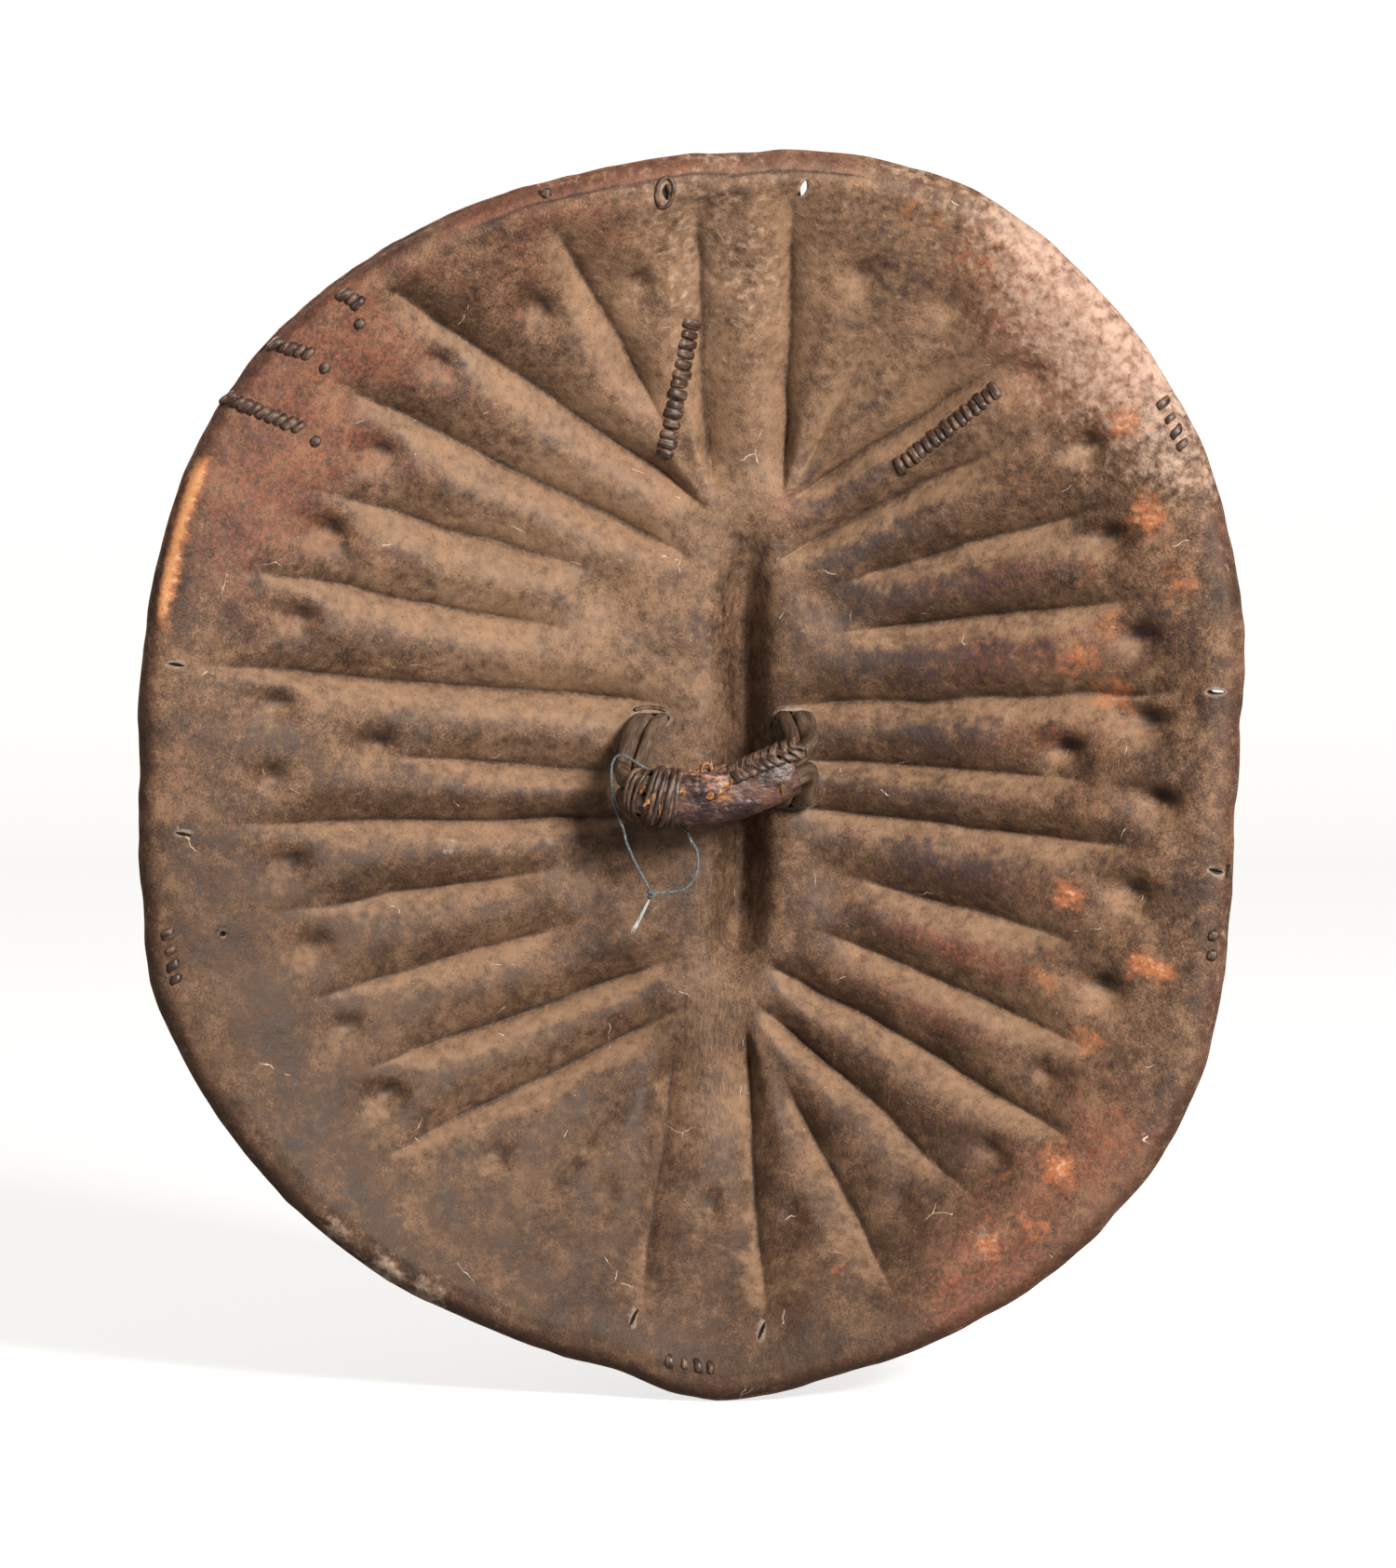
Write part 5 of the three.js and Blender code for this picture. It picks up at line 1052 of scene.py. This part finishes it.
# Thong with a rough dry surface
def thongRelief(straight, turn):
    return 0.2 * noise(straight, 1.9, 6) + 0.14 * noise(straight * (0.3, 1, 1), 0.9, 7)


# Windings over the bar's left end, from the straps on to the cover: the angle turns steadily and the pitch wavers
winding = {"from": 0.3, "turns": 9, "perTurn": 40, "pitch": 3.0, "width": 3.1, "thickness": 2.1}
steps = np.arange(winding["turns"] * winding["perTurn"] + 1) / winding["perTurn"]
waver = 0.9 * np.sin(steps * 2.1) + 0.7 * np.sin(2 * np.pi * steps + steps * 0.7)
windingShares = byLength(winding["from"] + (winding["pitch"] * steps + waver) / gripWalked[-1])
onCover = smoothstep(windingShares, *byLength([0.335, 0.36]))
lift = 1.0 + 0.9 * noise(stacked(steps * 5, 0), 3, 12) - (grip["coverSlack"] + 0.8) * (1 - onCover)
path = barPoint(windingShares, np.pi + 2 * np.pi * steps, lift)
widths = winding["width"] * (1 + 0.25 * noise(stacked(steps * 3, 0), 1.3, 14))
wound = tube(path, barFrame(windingShares)[3], widths, winding["thickness"], 12, relief=thongRelief, spacing=0.7)
binding = addTubes("leftEndBinding", thongFinish, "rawhide_thong", wound)
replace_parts(binding, "left_end_binding")

# Braid of three thongs over the seam: each sways across as a sine and dips under the next at twice that rate
plait = {"from": 0.56, "length": 37, "pitch": 12.6, "sway": 7.4, "width": 4.4, "thickness": 2.0, "tilt": 26}
walkedBraid = np.linspace(0, plait["length"], 320)
braidShares = byLength(plait["from"] + walkedBraid / gripWalked[-1])
strands = []
for strand in range(3):
    phase = 2 * np.pi * (walkedBraid / plait["pitch"] + strand / 3)
    angles = np.radians(grip["seamAngle"] - plait["tilt"]) + np.sin(phase) * plait["sway"] / halfHeight
    path = barPoint(braidShares, angles, 1.4 + 0.8 * np.sin(2 * phase))
    strands.append(tube(path, barFrame(braidShares)[3], plait["width"], plait["thickness"], 12,
                        relief=thongRelief, spacing=0.6))
braid = addTubes("seamBraid", thongFinish, "rawhide_thong", *strands)
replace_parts(braid, "seam_plait")

# Small loop that stands in the seam
at, outwards, up, along = (part[0] for part in barFrame(np.array([0.49])))
turn = np.linspace(-0.5, np.pi + 0.5, 40)[:, None]
foot = barPoint(np.array([0.49]), np.radians(grip["seamAngle"]), 0)[0]
path = foot + along * 2.9 * np.cos(turn) + (up * 0.98 + outwards * 0.2) * (5.2 * np.sin(turn) + 1.6)
loop = tube(path, outwards, 3.2, 2.2, 12, relief=thongRelief, spacing=0.5)
tieLoop = addTubes("coverTieLoop", flakeFinish, "rawhide_thong", loop)
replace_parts(tieLoop, "cover_tie_loop")

# Torn flakes that curl off the cover: short flat strips bent like a bow, at (x, z), length, degrees
flakes = [(-35, 2, 8, 60), (-29, -3, 6, 100), (-19, 6, 9, 20), (-23, 2, 5, 50), (6, 7, 9, 25), (11, 10, 7, 60),
          (-2, 4, 5, 30), (-38, 8, 6, 80), (33, 8, 9, 80), (-12, 16, 8, 10), (-22, 15, 9, -10)]
barShares = np.linspace(0.25, 0.8, 400)
barAt = alongKnots(gripKnots, barShares)
strips = []
for number, (x, z, length, degrees) in enumerate(flakes):
    reach = np.linspace(-0.5, 0.5, 14)
    flakeX, flakeZ = turned(reach * length, 0, degrees) + np.array([[x], [z]])
    shares = np.interp(flakeX, barAt[:, 0], barShares)
    above = np.clip((flakeZ - alongKnots(gripKnots, shares)[:, 2]) / halfHeight, -0.97, 0.97)
    angles = np.arcsin(np.sign(above) * np.abs(above) ** (1 / grip["squareness"]))
    path = barPoint(shares, angles, 0.5 + 2.2 * (reach + 0.5) ** 2)
    edges = noise(stacked(reach * length + number * 9, 0), 1.1, 5)
    widths = (2.6 + 0.8 * np.sin(number * 2.3)) * np.sqrt(1.05 - (2 * reach) ** 2) * (1 + 0.5 * edges) + 0.3
    strips.append(tube(path, barFrame(shares)[2], widths, 0.45, 8, spacing=0.5))
addTubes("coverFlakes", flakeFinish, "cover_leather", *strips)
print("bindings made")

# Collar over the left upper slit
collar = {"halfWidth": 9.5, "rise": 2.6, "thickness": 2.4, "endAngle": 12}
slitTop = (gripKnots[0, 0], gripKnots[0, 2] + grip["slitSpread"][0] + grip["slitHalf"][1])
across, upwards = circle(np.radians(np.linspace(collar["endAngle"], 180 - collar["endAngle"], 40)))
flatPath = stacked(across * collar["halfWidth"], upwards * collar["rise"]) + slitTop
path = inSpace(flatPath, hideAt(flatPath + (0, 1.2))[0] - collar["thickness"] / 2)
arch = tube(path, (0, 1, 0), collar["thickness"], collar["thickness"], 12, relief=thongRelief, spacing=0.6)
slitCollar = addTubes("slitCollar", thongFinish, "rawhide_thong", arch)
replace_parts(slitCollar, "slit_collar")

# Ring round the left hanging slot at the top
ringSize = {"halfLength": 8.4, "halfWidth": 4.7, "thickness": 2.2}
along, across = circle(np.linspace(0, 2 * np.pi, 60, endpoint=False))
flatPath = toPlace(rimSlots[0][:2]) + stacked(
    *turned(ringSize["halfLength"] * along, ringSize["halfWidth"] * across, rimSlots[0][4]))
path = inSpace(flatPath, hideAt(flatPath)[0] - 0.7)
ring = tube(path, (0, 1, 0), ringSize["thickness"], ringSize["thickness"], 12, closed=True, relief=thongRelief,
            spacing=0.7)
slotCollar = addTubes("slotCollar", thongFinish, "rawhide_thong", ring)
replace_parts(slotCollar, "rim_slot_collar")


def pieceName(node):  # a node's name as a piece's: upper_left to upperLeft
    first, *others = node.split("_")
    return first + "".join(word.capitalize() for word in others)


# Whipped tears: a thong wound along the tear, through the hide on both sides of it
# node: from (across, up), to (across, up), turns, thong width, thickness, half reach across, slant of a stitch
lacings = {
    "upper_left_repair_lacing": ((-0.07, 0.725), (-0.115, 0.5), 14, 5.4, 3.2, 4.1, 0.25),
    "upper_right_repair_lacing": ((0.42, 0.616), (0.26, 0.486), 15, 4.6, 3.0, 4.0, 0.3),
    "rim_repair_lacing_low": ((-0.812, 0.604), (-0.69, 0.553), 9, 5.2, 3.6, 3.1, 0.9),
    "rim_repair_lacing_mid": ((-0.738, 0.69), (-0.672, 0.672), 5, 4.8, 3.6, 2.9, 0.8),
    "rim_repair_lacing_high": ((-0.626, 0.77), (-0.594, 0.75), 3, 4.6, 3.8, 3.1, 0.6),
    "bottom_stitches": ((-0.11, -0.941), (-0.021, -0.956), 4, 4.0, 2.4, 3.0, 0.1),
    "left_rim_stitches": ((-0.91, -0.249), (-0.893, -0.347), 4, 4.8, 2.6, 2.8, 0.1),
    "right_rim_stitches": ((0.681, 0.6), (0.722, 0.511), 4, 4.4, 2.6, 3.2, 0.1),
}
for node, (start, end, turns, wide, thick, reach, slant) in lacings.items():
    start, end = toPlace(start), toPlace(end)
    forwards = unit(end - start)
    across = np.array([-forwards[1], forwards[0]]) + forwards * slant
    steps = np.linspace(0, turns, turns * 28 + 1)
    flat, upright = circle(2 * np.pi * (steps + 0.08 * np.sin(steps * 4.3)), 0.7)
    line = start + (end - start) * (steps / turns)[:, None]
    sway = across * (flat * reach)[:, None]
    nearY, farY = hideAt(line + sway)
    swell = 1 + 0.12 * np.sin(steps * 2.7 + 1)
    frontY, backY = nearY - thick * 0.38, farY + thick * 0.3
    path = inSpace(line + sway * swell[:, None], (frontY + backY) / 2 - upright * (backY - frontY) / 2)
    lacing = tube(path, (forwards[0], 0, forwards[1]), wide * swell, thick, 14, 0.9, relief=thongRelief, spacing=0.8)
    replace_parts(addTubes(pieceName(node), thongFinish, "rawhide_thong", lacing), node)
print("lacings made")

# Stopper knots: a lathe profile with a head on each side, coiled by a wave that climbs round it
stopperKnots = {
    "top_rim_knot": (-0.302, 0.93), "high_repair_knot": (-0.6, 0.722), "mid_repair_knot": (-0.656, 0.652),
    "low_repair_knot": (-0.672, 0.534), "right_rim_knot_upper": (0.766, -0.256),
    "right_rim_knot_lower": (0.764, -0.288),
}
knotSize = {"width": 6.2, "head": 3.2, "neck": 2.0, "sides": 20}
half, head, neck, sides = knotSize["width"] / 2, knotSize["head"], knotSize["neck"] / 2, knotSize["sides"]
turn = np.linspace(0.02, np.pi - 0.02, 14)
headShape = stacked(half * np.sin(turn) ** 0.8, -head / 2 * np.cos(turn))
side = np.arange(sides)
turn = side / sides * 2 * np.pi
for node, share in stopperKnots.items():
    x, z = place = toPlace(share)
    nearY, farY = (face[0] for face in hideAt(place[None]))
    profile = np.vstack([headShape + (0, nearY - head / 2 + 0.4), [[neck, nearY + 1], [neck, farY - 1]],
                         headShape + (0, farY + head / 2 - 0.4)])
    radius, depth = profile[:, :1], profile[:, 1:]
    radius = radius * (1 + 0.07 * np.cos(2 * turn + depth * 3.5))
    points = stacked(x + radius * np.cos(turn), depth, z - radius * np.sin(turn)).reshape(-1, 3)
    faces = [ringFaces(len(profile), sides), side[None, ::-1], side[None] + (len(profile) - 1) * sides]
    marks = {"straight": stacked(depth * 2, 3 * np.cos(turn), 3 * np.sin(turn)).reshape(-1, 3)}
    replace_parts(addPiece(pieceName(node), points, faces, thongFinish, marks=marks), node)
print("knots made")

# Studio: a wide pale floor whose border curves up into a wall all round, and soft boxes
stageSizes = {"floor": -337.8, "radius": 6500, "curve": 1500, "top": 5200, "sides": 96}
forwards, upwards = circle(np.linspace(0, np.pi / 2, 14))
bend = stageSizes["curve"] * (1 - stacked(upwards, forwards)) * (-1, 1)
profile = np.vstack([[1, stageSizes["floor"]], bend + (stageSizes["radius"], stageSizes["floor"]),
                     [stageSizes["radius"], stageSizes["top"]]])
side = np.arange(stageSizes["sides"])
forwards, sideways = circle(side / stageSizes["sides"] * 2 * np.pi)
sheet = stacked(profile[:, :1] * forwards, profile[:, :1] * sideways, profile[:, 1:]).reshape(-1, 3)
stageFaces = [ringFaces(len(profile), stageSizes["sides"])[:, ::-1], side[None]]
stage = addPiece("paleSweep", sheet, stageFaces, None)
paper, tree = newMaterial("paleSweepPaper")
addSurface(tree, {  # a little light comes through the paper from behind
    "Base Color": linear("#f4f4f4"), "Roughness": 0.9, "Emission Color": linear("#ffffff"), "Emission Strength": 0.63,
})
stage.data.materials.append(paper)
stage.visible_diffuse = False  # the paper throws no light back on the shield, so that its folds keep their shade
stage.visible_glossy = False

# The back light shines on the shield's pieces alone, so that the floor keeps the shield's shadow
shieldPieces = bpy.data.collections.new("shieldPieces")
for piece in bpy.context.collection.objects:
    if piece.type == "MESH" and piece is not stage:
        shieldPieces.objects.link(piece)
lights = {  # place, size, watts, colour
    "keySoftbox": ((1200, -2050, 900), 700, 150, "#fff8f0"),
    "fillSoftbox": ((-1600, -2200, 300), 1800, 12, "#fff5ea"),
    "backSoftbox": ((-1100, 2100, 1500), 1400, 90, "#fff8f0"),
}
for name, (place, size, watts, hexColour) in lights.items():
    lamp = bpy.data.lights.new(name, "AREA")
    lamp.shape, lamp.size, lamp.energy, lamp.color = "SQUARE", size * mm, watts, linear(hexColour)[:3]
    holder = bpy.data.objects.new(name, lamp)
    bpy.context.collection.objects.link(holder)
    holder.location = np.array(place) * mm
    if name == "backSoftbox":
        holder.light_linking.receiver_collection = shieldPieces
    aim = unit(-np.array(place, float))
    holder.rotation_euler = (np.arccos(-aim[2]), 0, np.arctan2(aim[1], aim[0]) - np.pi / 2)
world = bpy.data.worlds.new("paleStudio")
world.use_nodes = True
background = world.node_tree.nodes["Background"].inputs
background["Color"].default_value, background["Strength"].default_value = linear("#fffaf3"), 0.3
bpy.context.scene.world = world
bpy.context.scene.view_settings.view_transform = "Standard"
print("studio lit")
